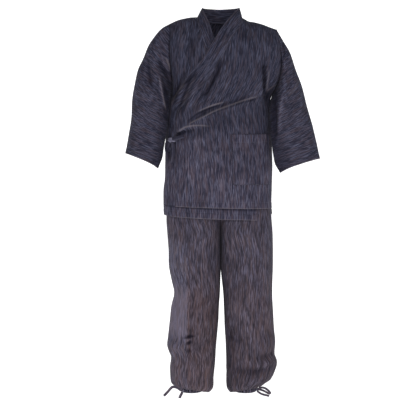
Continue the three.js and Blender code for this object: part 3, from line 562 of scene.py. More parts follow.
LEG_FRONT_FOLDS = {
    "right": [
        Fold(8, 14, [-120, -960], [-121, -1080], [-121, -1160], lean=0.35),
        Fold(8, 13, [-120, -1235], [-119, -1300], [-118, -1350], lean=0.35),
        Fold(-6, 13, [-186, -1178], [-150, -1176], [-104, -1180]),
        Fold(6, 12, [-184, -1206], [-150, -1208], [-112, -1216]),
        Fold(-5, 12, [-172, -1236], [-146, -1232], [-108, -1240]),
        Fold(6, 14, [-178, -1262], [-160, -1300], [-150, -1340]),
        Fold(4, 26, [-60, -960], [-62, -1060], [-66, -1160]),
        Fold(-4, 22, [-92, -760], [-100, -880], [-104, -980]),
        # the pressed crease and the crumple at the knee
        Fold(4, 7, [-121, -980], [-121, -1060], [-120, -1150], lean=-0.5),
        Fold(-9, 6, [-132, -1162], [-118, -1167], [-101, -1162], lean=0.3),
        Fold(7, 6, [-140, -1176], [-122, -1178], [-106, -1173]),
        Fold(-8, 6, [-124, -1190], [-113, -1189], [-102, -1184]),
        Fold(-6, 7, [-122, -1208], [-114, -1218], [-106, -1228]),
        Fold(3.5, 7, [-121, -1250], [-120, -1290], [-119, -1346], lean=-0.4),
        Fold(-4, 5, [-112, -1010], [-112, -1150], [-110, -1340]),
        Fold(-3, 10, [-176, -1250], [-168, -1290], [-160, -1330]),
        Fold(-2.5, 16, [-30, -900], [-40, -1000], [-46, -1120]),
        Fold(-2.5, 12, [-60, -1180], [-46, -1196], [-26, -1204]),
        Fold(2.5, 12, [-90, -1262], [-60, -1278], [-34, -1282]),
    ],
    "left": [
        Fold(4, 18, [98, -860], [102, -980], [104, -1100]),
        Fold(-9, 15, [24, -1146], [48, -1158], [78, -1164]),
        Fold(6, 14, [120, -1282], [165, -1272], [200, -1258]),
        Fold(-8, 13, [50, -1288], [110, -1298], [180, -1284]),
        Fold(5, 14, [60, -1330], [110, -1338], [160, -1330]),
        Fold(4, 26, [160, -900], [158, -1020], [164, -1140]),
        Fold(-4, 22, [62, -780], [56, -900], [60, -1010]),
        Fold(-6, 8, [30, -1166], [52, -1180], [80, -1186], lean=0.3),
        Fold(3, 10, [40, -1150], [70, -1160], [104, -1160]),
        Fold(-6, 9, [146, -1246], [172, -1242], [198, -1234]),
        Fold(-3, 9, [96, -1290], [140, -1296], [186, -1286], lean=0.3),
        Fold(3, 10, [84, -1250], [120, -1262], [150, -1258]),
        Fold(-2.5, 16, [130, -880], [136, -1000], [134, -1120]),
        Fold(2, 14, [34, -900], [36, -1000], [40, -1100]),
    ],
}
LEG_BACK_FOLDS = {
    "right": [
        Fold(5, 16, [-50, -820], [-96, -858], [-150, -868]),
        Fold(-6, 14, [-150, -1120], [-100, -1136], [-50, -1128]),
        Fold(6, 14, [-160, -1160], [-104, -1172], [-40, -1160]),
        Fold(5, 16, [-104, -900], [-102, -1000], [-106, -1090]),
        Fold(-5, 14, [-160, -1290], [-110, -1302], [-56, -1290]),
        Fold(-6, 8, [-34, -838], [-84, -874], [-146, -890], lean=0.3),
        Fold(6, 8, [-150, -1094], [-96, -1108], [-46, -1100]),
        Fold(-6, 8, [-160, -1188], [-100, -1202], [-40, -1190]),
        Fold(3, 10, [-140, -1236], [-96, -1246], [-56, -1240]),
        Fold(-2.5, 16, [-150, -900], [-152, -1000], [-150, -1080]),
    ],
    "left": [
        Fold(5, 16, [52, -820], [100, -856], [156, -862]),
        Fold(-6, 14, [48, -1118], [104, -1130], [160, -1116]),
        Fold(6, 14, [44, -1158], [106, -1168], [172, -1156]),
        Fold(5, 16, [104, -900], [108, -1000], [106, -1090]),
        Fold(-5, 14, [56, -1286], [118, -1300], [176, -1286]),
        Fold(-6, 8, [36, -838], [88, -872], [150, -886], lean=-0.3),
        Fold(6, 8, [48, -1094], [104, -1106], [162, -1092]),
        Fold(-6, 8, [42, -1186], [108, -1199], [174, -1182]),
        Fold(3, 10, [62, -1232], [112, -1242], [160, -1230]),
        Fold(-2.5, 16, [152, -900], [156, -1000], [154, -1080]),
    ],
}


# The jacket's form

def shoulder_drop(a, level):
    side = np.where(a < 0, SHOULDER("left", np.abs(a)), SHOULDER("right", np.abs(a)))
    return side * (1 - smooth(level / SHOULDER_BLEND))


def side_opening(side, level):
    """Half the opening between front and back at the side: the armhole, the seam, or the vent."""
    bottom = ARMHOLE[side]
    t = 1 - 2 * level / bottom
    armhole = np.maximum(SEAM_GAP / 2, ARMHOLE_HALF_DEPTH * np.sqrt(np.maximum(0, 1 - t * t)))
    armhole = armhole * np.sign(level)
    return np.where(level < bottom, armhole, SEAM_GAP / 2 + VENT_SPREAD * np.maximum(0, level - VENT_TOP))


def depth_at(face, level):
    depth, power = CAP[face]
    rise = 1 - (1 - np.clip(level / depth, 0, 1)) ** 2
    return TORSO(face, level) * rise ** power


def half_width(a, level):
    return np.where(a < 0, TORSO("left", level), TORSO("right", level))


def torso_form(face, angle, level):
    """The plain body form: face front or back, angle from the middle to the side, level down."""
    angle, level = np.broadcast_arrays(np.asarray(angle, float), np.asarray(level, float))
    a = np.sin(angle)
    opening = np.where(a < 0, side_opening("left", level), side_opening("right", level))
    reach = np.maximum(opening, depth_at(face, level))
    out = opening + (reach - opening) * np.maximum(0, np.cos(angle)) ** SECTION_POWER
    y = -out if face == "front" else out
    return np.stack([half_width(a, level) * a, y, -level - shoulder_drop(a, level)], axis=-1)


def angle_of(x, level):
    return np.arcsin(np.clip(x / half_width(x, level), -1, 1))


def layer_at(front, angle):
    a = np.sin(angle)
    if front == "outer":
        return LAYER * smooth((1 - a) / LAYER_BLEND)
    if front == "under":
        return -LAYER * smooth((1 + a) / LAYER_BLEND)
    return np.zeros(np.shape(a))


def torso_point(face, front, angle, level, out=0.0):
    angle, level = np.broadcast_arrays(np.asarray(angle, float), np.asarray(level, float))
    point = torso_form(face, angle, level)
    step = 0.02
    near = np.clip(angle, -math.pi / 2 + step, math.pi / 2 - step)
    across = torso_form(face, near + step, level) - torso_form(face, near - step, level)
    down = torso_form(face, near, level + 3) - torso_form(face, near, np.maximum(0, level - 3))
    normal = unit(np.cross(down, across))
    folds = JACKET_FRONT_FOLDS
    if face == "back":
        normal = -normal
        folds = JACKET_BACK_FOLDS
    settle = smooth((math.pi / 2 - np.abs(angle)) / 0.35) * smooth(level / 40)
    x = point[..., 0]
    z = point[..., 2]
    wander = 0.9 * creasing(3 if face == "front" else 4, x, z, 78 if face == "front" else 90)
    lift = (fold_height(folds, x, z) + wander) * settle
    layer = layer_at(front if face == "front" else "back", angle) * smooth(level / 30)
    return point + normal * (lift + layer + out)[..., None]


def on_front(front, x, z, out=0.0):
    """The point of the body's surface that is seen at x, z."""
    x = np.asarray(x, float)
    level = -np.asarray(z, float)
    for _ in range(6):
        a = np.clip(x / half_width(x, level), -1, 1)
        level = np.maximum(0, -z - shoulder_drop(a, level))
    return torso_point("front", front, angle_of(x, level), level, out)


def nape_x(level):
    return NAPE_WIDE * np.sqrt(np.maximum(0, 1 - (level / NAPE) ** 2))


def inner_angle(front, face, level):
    """Where a body piece ends towards the middle: the collar's seam, its front edge or the back seam."""
    if face == "front":
        seam = np.where(level < COLLAR_END, NECKLINE[front]("seamX", level), FRONT_EDGE[front])
        return angle_of(seam, level)
    sign = 1 if front == "outer" else -1
    return angle_of(sign * np.maximum(SEAM_GAP / 2, nape_x(level)), level)


def even_levels(face, last, step=MESH):
    """Levels a mesh step apart along the cloth, from the shoulder down."""
    fine = np.linspace(0, last, 1200) ** 2 / last
    line = torso_form(face, angle_of(np.full(fine.shape, 100.0), fine), fine)
    run = run_along(line)
    return np.interp(np.linspace(0, run[-1], int(run[-1] / step)), run, fine)


NAPE_ROWS = np.array([0.6, 0.78, 0.88, 0.94, 0.975, 0.992, 0.9985, 1.0])
HEM_ROWS = np.array([0, 1.2, 4, 9, 14, 18.5, 20.2, 21.2, 22.4, 25.0])


def with_hem(total):
    """Distances from a hem: close together over its fold and stitch line, then a mesh step apart."""
    plain = np.arange(HEM_ROWS[-1] + MESH, total - MESH / 2, MESH)
    return np.concatenate([HEM_ROWS, plain, [total]])


def hem_lift(distance):
    """The turned hem stands a little proud, with the stitches pulled in at its top."""
    band = 0.7 * smooth((HEM_FOLD + 0.6 - distance) / 1.6)
    return band - 0.7 * np.exp(-((distance - HEM_FOLD) / 1.1) ** 2)


def seam_pull(gap, chosen, run):
    """How far a seam draws the cloth in: a groove along it, and small uneven puckers beside it."""
    groove = 1.5 * np.exp(-((gap / 3.0) ** 2))
    pucker = 0.35 * creasing(8, run, gap * 0.1, 90, size=16, count=6, spread=0.1)
    pucker = pucker * np.exp(-gap / 9) * smooth(gap / 2)
    return np.where(chosen, groove + pucker, 0.6 * groove)


class Body:
    """One body length of the jacket: a grid of points with the cloth's own coordinates."""

    def __init__(self, front, columns):
        side = 1 if front == "outer" else -1
        middle_shares = np.linspace(0.015, 0.985, columns - 6)
        shares = np.concatenate([[0, 0.003, 0.008], middle_shares, [0.992, 0.997, 1]])
        edge, side_hem = HEM[front]
        hem = mix(edge, side_hem, shares)
        drop = (edge + side_hem) / 2 - COLLAR_END
        rows = []
        faces = []
        hem_gap = []
        for gap in with_hem(drop)[:-1]:
            rows.append(mix(hem, COLLAR_END, gap / drop))
            faces.append("front")
            hem_gap.append(gap)
        for level in even_levels("front", COLLAR_END)[::-1]:
            rows.append(np.full(columns, level))
            faces.append("front")
            hem_gap.append(drop + COLLAR_END - level)
        back = np.union1d(even_levels("back", BACK_HEM, BACK_MESH)[1:], NAPE * NAPE_ROWS)
        above_hem = back < BACK_HEM - HEM_ROWS[-1] - BACK_MESH / 2
        back = np.concatenate([back[above_hem], BACK_HEM - HEM_ROWS[::-1]])
        for level in back:
            rows.append(np.full(columns, level))
            faces.append("back")
            hem_gap.append(BACK_HEM - level)
        self.level = np.array(rows)
        self.faces = np.array(faces)
        self.hem_gap = np.array(hem_gap)
        grid = np.zeros(self.level.shape + (3,))
        for face in ("front", "back"):
            chosen = self.faces == face
            level = self.level[chosen]
            start = inner_angle(front, face, level[:, :1])
            angle = mix(start, side * math.pi / 2, shares[None, :])
            grid[chosen] = torso_point(face, front, angle, level)
        self.shares = shares
        self.plain = grid
        self.normals = grid_normals(grid, False, INSIDE_BODY)
        spans = cloth_lengths(grid)[..., 0] / METRES
        armhole = self.level < ARMHOLE["right" if front == "outer" else "left"]
        neck = self.level < COLLAR_END
        self.from_side = spans[:, -1:] - spans
        self.from_neck = spans
        pull = seam_pull(self.from_side, armhole, self.level) + 0.5 * seam_pull(spans, neck, self.level)
        lift = hem_lift(self.hem_gap)[:, None] - pull * np.abs(self.normals[..., 1])
        self.grid = grid + self.normals * lift[..., None]


def grid_normals(grid, around, centre):
    if around:
        across = np.roll(grid, -1, axis=1) - np.roll(grid, 1, axis=1)
    else:
        across = np.empty_like(grid)
        across[:, 1:-1] = grid[:, 2:] - grid[:, :-2]
        across[:, 0] = grid[:, 1] - grid[:, 0]
        across[:, -1] = grid[:, -1] - grid[:, -2]
    down = np.empty_like(grid)
    down[1:-1] = grid[2:] - grid[:-2]
    down[0] = grid[1] - grid[0]
    down[-1] = grid[-1] - grid[-2]
    normals = unit(np.cross(down, across))
    if (normals * (grid - centre)).sum() < 0:
        normals = -normals
    return normals


def evened(values, rows=34):
    """Each column of values evened out over its neighbours, so that yarns don't jump at a fold."""
    padded = np.pad(values, ((rows, rows), (0, 0)), mode="edge")
    window = np.hanning(2 * rows + 1)
    window = window / window.sum()
    return np.stack([np.convolve(column, window, mode="valid") for column in padded.T], axis=1)


def cloth_lengths(grid, from_last=False, around=False):
    """The cloth's own coordinates in metres: across each row, and down the middle column."""
    closed = np.concatenate([grid, grid[:, :1]], axis=1) if around else grid
    steps = np.linalg.norm(np.diff(closed, axis=1), axis=-1)
    across = np.concatenate([np.zeros((len(grid), 1)), np.cumsum(steps, axis=1)], axis=1)
    if from_last:
        across = across[:, -1:] - across
    if len(grid) > 100:
        across = evened(across)
    middle = closed[:, closed.shape[1] // 2]
    down = run_along(middle)
    down = np.repeat(down[:, None], closed.shape[1], axis=1)
    return np.stack([across, down], axis=-1) * METRES


# Meshes

def make_mesh(name, points, faces, corners, marks=None):
    """A mesh from points in millimetres, with the cloth's coordinates at each face's corners."""
    mesh = bpy.data.meshes.new(name)
    mesh.from_pydata((points * METRES).tolist(), [], faces.tolist())
    layer = mesh.uv_layers.new(name="cloth")
    layer.data.foreach_set("uv", corners.reshape(-1).astype(np.float32))
    for key, values in (marks or {}).items():
        mark = mesh.attributes.new(key, "FLOAT", "POINT")
        mark.data.foreach_set("value", values.astype(np.float32))
    mesh.validate()
    mesh.polygons.foreach_set("use_smooth", np.ones(len(mesh.polygons), bool))
    mesh.set_sharp_from_angle(angle=math.radians(65))
    piece = bpy.data.objects.new(name, mesh)
    bpy.context.scene.collection.objects.link(piece)
    return piece


def signed_volume(points, faces):
    a = points[faces[:, 0]]
    first = (a * np.cross(points[faces[:, 1]], points[faces[:, 2]])).sum()
    return first + (a * np.cross(points[faces[:, 2]], points[faces[:, 3]])).sum()


def cloth_wall(name, grid, lengths, thickness, centre, around=False, square=(),
               wear_and_highlight=0.0, crease=0.0, tint_amount=0.0):
    """A thin closed shell: the grid is its outer face, and soft rounded edges join it to the inner one."""
    rows, columns = grid.shape[:2]
    normals = grid_normals(grid, around, centre)
    for where, axis in square:
        normals[where][..., axis] = 0
    for where, axis in square:
        normals[where] = unit(normals[where])
    inner = grid - normals * thickness
    outer_points = grid.reshape(-1, 3)
    inner_points = inner.reshape(-1, 3)
    count = rows * columns
    cells = grid_cells(rows, columns, around)
    outer_faces = cell_faces(cells, columns)
    cell_lengths = np.stack([lengths[r, c] for r, c in cells], axis=-2).reshape(-1, 4, 2)
    if around:
        turns = np.arange(columns)
        loops = [(np.zeros(columns, int), turns), (np.full(columns, rows - 1), turns[::-1])]
    else:
        down = np.arange(rows)
        right = np.arange(columns)
        ring_r = np.concatenate([
            np.zeros(columns, int), down[1:], np.full(columns - 1, rows - 1), down[::-1][1:-1]])
        ring_c = np.concatenate([
            right, np.full(rows - 1, columns - 1), right[::-1][1:], np.zeros(rows - 2, int)])
        loops = [(ring_r, ring_c)]
    points = [outer_points, inner_points]
    faces = [outer_faces, outer_faces[:, ::-1] + count]
    corners = [cell_lengths, cell_lengths[:, ::-1]]
    first = 2 * count
    for ring_r, ring_c in loops:
        inside_r = np.clip(ring_r, 1, rows - 2)
        inside_c = ring_c if around else np.clip(ring_c, 1, columns - 2)
        edge = grid[ring_r, ring_c]
        away = unit(edge - grid[inside_r, inside_c])
        middle = (edge + inner[ring_r, ring_c]) / 2 + away * thickness * 0.3
        n = len(ring_r)
        i = np.arange(n)
        j = (i + 1) % n
        top = ring_r * columns + ring_c
        points.append(middle)
        faces.append(np.stack([top[i], first + i, first + j, top[j]], axis=-1))
        faces.append(np.stack([first + i, top[i] + count, top[j] + count, first + j], axis=-1))
        here_c = ring_c
        there_c = ring_c[j]
        if around and ring_c[1] > ring_c[0]:
            there_c = ring_c + 1
        elif around:
            here_c = np.where(ring_c == 0, columns, ring_c)
            there_c = here_c - 1
        here = lengths[ring_r, here_c]
        there = lengths[ring_r[j], there_c]
        strip = np.stack([here, here, there, there], axis=1)
        corners += [strip, strip]
        first += n
    points = np.concatenate(points)
    faces = np.concatenate(faces)
    corners = np.concatenate(corners)
    if signed_volume(points, faces) < 0:
        faces = faces[:, ::-1]
        corners = corners[:, ::-1]
    marks = {}
    for key, values in (("wear_and_highlight", wear_and_highlight), ("crease", crease), ("tint_amount", tint_amount)):
        values = np.broadcast_to(values, (rows, columns))
        marks[key] = np.concatenate([values.ravel(), values.ravel()] + [values[ring] for ring in loops])
    return make_mesh(name, points, faces, corners, marks)


def edge_wear(lengths, top=True, bottom=True, first=True, last=True, reach=0.007):
    """How close each point lies to the edges that rub, from 0 to 1."""
    across = lengths[..., 0]
    down = lengths[..., 1]
    total = np.zeros(across.shape)
    distances = []
    if top:
        distances.append(down - down[:1])
    if bottom:
        distances.append(down[-1:] - down)
    if first:
        distances.append(np.abs(across - across[:, :1]))
    if last:
        distances.append(np.abs(across - across[:, -1:]))
    for distance in distances:
        total = np.maximum(total, 1 - smooth(distance / reach))
    return total


def stitch_row(points, normals, pitch=4.6, length=3.0, radius=0.4, sink=0.1):
    """One run of stitches along points on the cloth: each is a small tapered thread, end to end."""
    run = run_along(points)
    starts = np.arange(pitch / 2, run[-1] - length, pitch)

    def at(distance, values):
        return np.stack([np.interp(distance, run, values[:, k]) for k in range(3)], axis=-1)

    rings = []
    for share, thick, lift in ((0.0, 0.45, -0.5), (0.3, 1.0, 0.5), (0.7, 1.0, 0.5), (1.0, 0.45, -0.5)):
        middle = at(starts + share * length, points)
        out = unit(at(starts + share * length, normals))
        along = unit(at(starts + length, points) - at(starts, points))
        side = unit(np.cross(along, out))
        centre = middle + out * (radius * lift - sink)
        corners = []
        for turn in range(6):
            c = math.cos(turn * math.pi / 3)
            s = math.sin(turn * math.pi / 3)
            corners.append(centre + (side * c + out * s) * radius * thick)
        rings.append(np.stack(corners, axis=1))
    shape = np.stack(rings, axis=1)
    count = len(starts)
    points_out = shape.reshape(-1, 3)
    faces = []
    base = np.arange(count)[:, None] * 24
    for ring in range(3):
        for k in range(6):
            a = ring * 6 + k
            b = ring * 6 + (k + 1) % 6
            faces.append(np.concatenate([base + a, base + b, base + b + 6, base + a + 6], axis=1))
    for ring, order in ((0, (0, 5, 4, 3)), (0, (0, 3, 2, 1)), (18, (0, 1, 2, 3)), (18, (0, 3, 4, 5))):
        faces.append(np.concatenate([base + ring + k for k in order], axis=1))
    return points_out, np.concatenate(faces)


def stitches(name, rows):
    """Several runs of stitches as one piece."""
    points = []
    faces = []
    first = 0
    for row_points, row_faces in rows:
        points.append(row_points)
        faces.append(row_faces + first)
        first += len(row_points)
    points = np.concatenate(points)
    faces = np.concatenate(faces)
    corners = points[faces][..., [0, 2]] * METRES
    piece = make_mesh(name, points, faces, corners)
    piece.data.materials.append(thread)
    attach(piece, "root")
    return piece


# Materials

def new_group(name, inputs, outputs):
    group = bpy.data.node_groups.new(name, "ShaderNodeTree")
    for label, kind in inputs:
        group.interface.new_socket(name=label, in_out="INPUT", socket_type=kind)
    for label, kind in outputs:
        group.interface.new_socket(name=label, in_out="OUTPUT", socket_type=kind)
    return group, group.nodes.new("NodeGroupInput"), group.nodes.new("NodeGroupOutput")


def math_node(tree, operation, first, second):
    node = tree.nodes.new("ShaderNodeMath")
    node.operation = operation
    for socket, value in zip(node.inputs, (first, second)):
        if isinstance(value, (int, float)):
            socket.default_value = value
        else:
            tree.links.new(value, socket)
    return node.outputs[0]


def times(tree, first, second):
    return math_node(tree, "MULTIPLY", first, second)


def plus(tree, first, second):
    return math_node(tree, "ADD", first, second)


def spread_node(tree, value, low, high):
    node = tree.nodes.new("ShaderNodeMapRange")
    node.interpolation_type = "SMOOTHSTEP"
    node.inputs["From Min"].default_value = low
    node.inputs["From Max"].default_value = high
    tree.links.new(value, node.inputs["Value"])
    return node.outputs["Result"]


def yarn_noise(tree, vector, across, along, offset, detail=2.0, roughness=0.55):
    """Noise drawn out along the yarns: across and along are its steps in one metre."""
    scale = tree.nodes.new("ShaderNodeVectorMath")
    scale.operation = "MULTIPLY_ADD"
    scale.inputs[1].default_value = (across, along, 1)
    scale.inputs[2].default_value = (offset, offset * 0.37, offset * 0.11)
    tree.links.new(vector, scale.inputs[0])
    noise = tree.nodes.new("ShaderNodeTexNoise")
    noise.inputs["Scale"].default_value = 1
    noise.inputs["Detail"].default_value = detail
    noise.inputs["Roughness"].default_value = roughness
    tree.links.new(scale.outputs[0], noise.inputs["Vector"])
    return noise.outputs["Fac"]


# The step from yarn to yarn and how far yarns drift aside, in metres.
YARN_STEP = 0.0012
YARN_DRIFT = 0.0025


def build_streaks():
    """Slub yarns: light, warm and dark streaks of uneven length, and the height that they give the cloth."""
    group, start, end = new_group(
        "slub_yarns",
        [("Cloth", "NodeSocketVector")],
        [(label, "NodeSocketFloat") for label in ("Light", "Warm", "Dark", "Cloud", "Height")],
    )
    cloth = start.outputs["Cloth"]
    parts = group.nodes.new("ShaderNodeSeparateXYZ")
    group.links.new(cloth, parts.inputs[0])
    wave = yarn_noise(group, cloth, 14, 9, 5, 1.0)
    drift = times(group, math_node(group, "SUBTRACT", wave, 0.5), YARN_DRIFT)
    bent = group.nodes.new("ShaderNodeCombineXYZ")
    group.links.new(plus(group, parts.outputs[0], drift), bent.inputs[0])
    group.links.new(parts.outputs[1], bent.inputs[1])
    vector = bent.outputs[0]
    slubs = spread_node(group, yarn_noise(group, vector, 460, 30, 3, 1.0), 0.44, 0.62)
    threads = spread_node(group, yarn_noise(group, vector, 1000, 42, 13, 1.0), 0.44, 0.6)
    light = times(group, slubs, plus(group, times(group, threads, 0.6), 0.4))
    warm = spread_node(group, yarn_noise(group, vector, 200, 16, 41, 2.0, 0.7), 0.45, 0.65)
    dark = spread_node(group, yarn_noise(group, vector, 250, 15, 77, 1.0), 0.46, 0.6)
    cloud = yarn_noise(group, vector, 9, 5, 19, 2.0)
    yarn = yarn_noise(group, vector, 1500, 110, 7, 1.0)
    turn = times(group, parts.outputs[0], 2 * math.pi / YARN_STEP)
    pass_over = times(group, parts.outputs[1], 2 * math.pi / YARN_STEP)
    weave = times(group, math_node(group, "SINE", turn, 0), math_node(group, "SINE", pass_over, 0))
    slub = plus(group, times(group, light, 0.5), times(group, warm, 0.4))
    fine = plus(group, times(group, yarn, 0.6), times(group, weave, 0.18))
    height = plus(group, slub, fine)
    values = {"Light": light, "Warm": warm, "Dark": dark, "Cloud": cloud, "Height": height}
    for label, value in values.items():
        group.links.new(value, end.inputs[label])
    return group


STREAKS = build_streaks()


def mix_colour(tree, factor, first, second, blend="MIX"):
    node = tree.nodes.new("ShaderNodeMix")
    node.data_type = "RGBA"
    node.blend_type = blend
    node.clamp_factor = True
    for socket, value in ((node.inputs[0], factor), (node.inputs[6], first), (node.inputs[7], second)):
        if isinstance(value, (tuple, float, int)):
            socket.default_value = value
        else:
            tree.links.new(value, socket)
    return node.outputs[2]


def linear(*srgb):
    def one(v):
        v = v / 255
        return v / 12.92 if v <= 0.04045 else ((v + 0.055) / 1.055) ** 2.4
    return tuple(one(v) for v in srgb) + (1.0,)


def new_material(name):
    """A material, its tree, its shader and the cloth's own coordinates."""
    material = bpy.data.materials.new(name)
    material.use_nodes = True
    tree = material.node_tree
    place = tree.nodes.new("ShaderNodeUVMap")
    place.uv_map = "cloth"
    return material, tree, tree.nodes["Principled BSDF"], place.outputs[0]


def mark_node(tree, name):
    """One of the values that each point of the cloth carries."""
    node = tree.nodes.new("ShaderNodeAttribute")
    node.attribute_name = name
    return node.outputs["Fac"]


def add_relief(tree, height, strength, distance):
    bump = tree.nodes.new("ShaderNodeBump")
    bump.inputs["Strength"].default_value = strength
    bump.inputs["Distance"].default_value = distance
    tree.links.new(height, bump.inputs["Height"])
    tree.links.new(bump.outputs[0], tree.nodes["Principled BSDF"].inputs["Normal"])


def streaked_cotton(name, ground, light, warm, dark, wear_and_highlight_colour, tint_colour, light_share, warm_share):
    """Matte woven cotton with slub streaks, a little paler with wear at its edges, with painted highlights on
    its ridges and painted shade in its hollows.
    """
    material, tree, shader, cloth = new_material(name)
    shader.inputs["Specular IOR Level"].default_value = 0.1
    shader.inputs["Sheen Weight"].default_value = 0.02
    shader.inputs["Sheen Roughness"].default_value = 0.5
    shader.inputs["Sheen Tint"].default_value = (0.75, 0.78, 0.9, 1)
    yarns = tree.nodes.new("ShaderNodeGroup")
    yarns.node_tree = STREAKS
    tree.links.new(cloth, yarns.inputs["Cloth"])
    colour = mix_colour(tree, times(tree, yarns.outputs["Dark"], 0.55), ground, dark)
    colour = mix_colour(tree, times(tree, yarns.outputs["Light"], light_share), colour, light)
    colour = mix_colour(tree, times(tree, yarns.outputs["Warm"], warm_share), colour, warm)
    cloud = spread_node(tree, yarns.outputs["Cloud"], 0.35, 0.65)
    shade = mix_colour(tree, cloud, (0.94, 0.94, 0.95, 1), (1.06, 1.06, 1.05, 1))
    colour = mix_colour(tree, 1.0, colour, shade, "MULTIPLY")
    # A tint that each point carries: the jacket paler below the chest, the sleeves and pocket a little paler,
    # the trouser legs given painted warm shading lower down, and the ankle ties paler.
    fade = mix_colour(tree, mark_node(tree, "tint_amount"), (1, 1, 1, 1), tint_colour)
    colour = mix_colour(tree, 1.0, colour, fade, "MULTIPLY")
    # Painted shade in hollows and creases and painted highlight on ridges, from each point's crease mark.
    ridge = spread_node(tree, mark_node(tree, "crease"), -1.7, 1)
    painted_fold_light = mix_colour(tree, ridge, (0.235, 0.235, 0.30, 1), (1.343, 1.343, 1.314, 1))
    colour = mix_colour(tree, 1.0, colour, painted_fold_light, "MULTIPLY")
    # Paler with wear at edges and hems, plus painted highlights along the sharpest folds and hem edges.
    rub = times(tree, mark_node(tree, "wear_and_highlight"), plus(tree, yarns.outputs["Cloud"], 0.1))
    colour = mix_colour(tree, times(tree, rub, 1.1), colour, wear_and_highlight_colour)
    tree.links.new(colour, shader.inputs["Base Color"])
    rough = tree.nodes.new("ShaderNodeMapRange")
    rough.inputs["To Min"].default_value = 0.78
    rough.inputs["To Max"].default_value = 0.95
    tree.links.new(yarns.outputs["Height"], rough.inputs["Value"])
    tree.links.new(rough.outputs["Result"], shader.inputs["Roughness"])
    add_relief(tree, yarns.outputs["Height"], 0.35, 0.0006)
    return material


def thread_cotton():
    """Dark sewing thread with a slight twist."""
    material, tree, shader, cloth = new_material("sewing_thread")
    shader.inputs["Roughness"].default_value = 0.7
    twist = yarn_noise(tree, cloth, 900, 900, 2, 2.0)
    colour = mix_colour(tree, spread_node(tree, twist, 0.35, 0.65), linear(46, 45, 58), linear(86, 84, 98))
    tree.links.new(colour, shader.inputs["Base Color"])
    add_relief(tree, twist, 0.4, 0.0002)
    # How strong lines of painted highlight or painted shade are at each point of a grid.
    return material


jacket_cotton = streaked_cotton(
    "jacket_cotton",
    ground=linear(29, 29, 42), light=linear(71, 73, 91), warm=linear(67, 57, 62), dark=linear(18, 19, 30),
    wear_and_highlight_colour=linear(108, 101, 106), tint_colour=(1.6, 1.48, 1.4, 1), light_share=0.8, warm_share=0.36)
trouser_cotton = streaked_cotton(
    "trouser_cotton",
    ground=linear(42, 40, 50), light=linear(89, 88, 109), warm=linear(86, 74, 78), dark=linear(27, 25, 35),
    wear_and_highlight_colour=linear(118, 108, 122), tint_colour=(1.2, 0.98, 0.82, 1), light_share=0.8, warm_share=0.4)
tie_cotton = streaked_cotton(
    "tie_cotton",
    ground=linear(40, 39, 52), light=linear(80, 80, 98), warm=linear(76, 68, 74), dark=linear(27, 26, 37),
    wear_and_highlight_colour=linear(124, 122, 140), tint_colour=(2.3, 1.9, 1.6, 1), light_share=0.75, warm_share=0.3)
thread = thread_cotton()

SLOTS = {"jacket_cloth": jacket_cotton, "trouser_cloth": trouser_cotton, "tie_cloth": tie_cotton}


def finish_piece(piece, slot, *nodes):
    piece.data.materials.append(SLOTS[slot])
    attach(piece, "root")
    if nodes:
        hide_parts(*nodes)
    return piece


def crease_mark(folds, grid, seed):
    """Ridges positive, hollows negative: the material paints highlight on the ridges and shade in the
    hollows.
    """
    x = grid[..., 0]
    z = grid[..., 2]
    total = 0.1 * creasing(seed, x, z, 80)
    for fold in folds:
        total = total + fold(x, z) / 9 * min(1, (8 / fold.width) ** 1.5)
    return np.clip(total, -1, 1)


# Ties: flat tapes along smooth routes, and knots of wrapped tape.

def tape(name, route, width, wide=None, facing=None, tint_amount=0.0, shade=0.0):
    """A flat folded tape along a route: its wide side starts along one way, or faces another all along."""
    line = rounded_line(route, 8)
    run = run_along(line)
    count = max(24, int(run[-1] / 1.6))
    even = np.linspace(0, run[-1], count)
    line = np.stack([np.interp(even, run, line[:, k]) for k in range(3)], axis=1)
    tangent = unit(np.gradient(line, axis=0))
    if facing is None:
        across = np.zeros(tangent.shape)
        side = np.array(wide, float)
        for k, t in enumerate(tangent):
            side = unit(side - t * side.dot(t))
            across[k] = side
    else:
        across = unit(np.cross(np.array(facing), tangent))
    out = np.cross(tangent, across)
    section = 16
    turn = 2 * math.pi * (np.arange(section) + 0.5) / section
    cos = np.cos(turn)
    sin = np.sin(turn)
    broad = np.sign(cos) * np.abs(cos) ** 0.6 * width / 2
    thin = np.sign(sin) * np.abs(sin) ** 0.7 * TAPE_THICKNESS / 2
    dish = 0.35 * np.cos(np.pi * broad / width)
    wobble = 0.25 * np.sin(even / 7.0)[:, None]
    grid = line[:, None] + across[:, None] * broad[None, :, None]
    grid = grid + out[:, None] * (thin + dish + wobble)[..., None]
    round_tape = np.append(broad, broad[0])[None, :]
    lengths = np.stack(np.broadcast_arrays(round_tape, even[:, None]), axis=-1) * METRES
    points = grid.reshape(-1, 3)
    cells = grid_cells(count, section, True)
    faces = [cell_faces(cells, section)]
    corners = [np.stack([lengths[r, c] for r, c in cells], axis=-2).reshape(-1, 4, 2)]
    half = section // 2
    for ring, flip in ((0, False), (count - 1, True)):
        base = ring * section
        for k in range(1, half):
            quad = [section - k, k - 1, k, section - k - 1]
            if flip:
                quad = quad[::-1]
            faces.append(np.array([quad]) + base)
            corners.append(lengths[ring, quad][None])
    faces = np.concatenate(faces)
    corners = np.concatenate(corners)
    if signed_volume(points, faces) < 0:
        faces = faces[:, ::-1]
        corners = corners[:, ::-1]
    rub = np.abs(broad) / (width / 2)
    wear_and_highlight = np.tile(0.2 * smooth((rub - 0.75) * 4), count)
    # The crease mark carries the painted shade over the whole tape.
    marks = {"wear_and_highlight": wear_and_highlight, "crease": np.full(len(points), -shade), "tint_amount": np.full(len(points), tint_amount)}
    piece = make_mesh(name, points, faces, corners, marks)
    finish_piece(piece, "tie_cloth")
    return piece, line, run[-1]


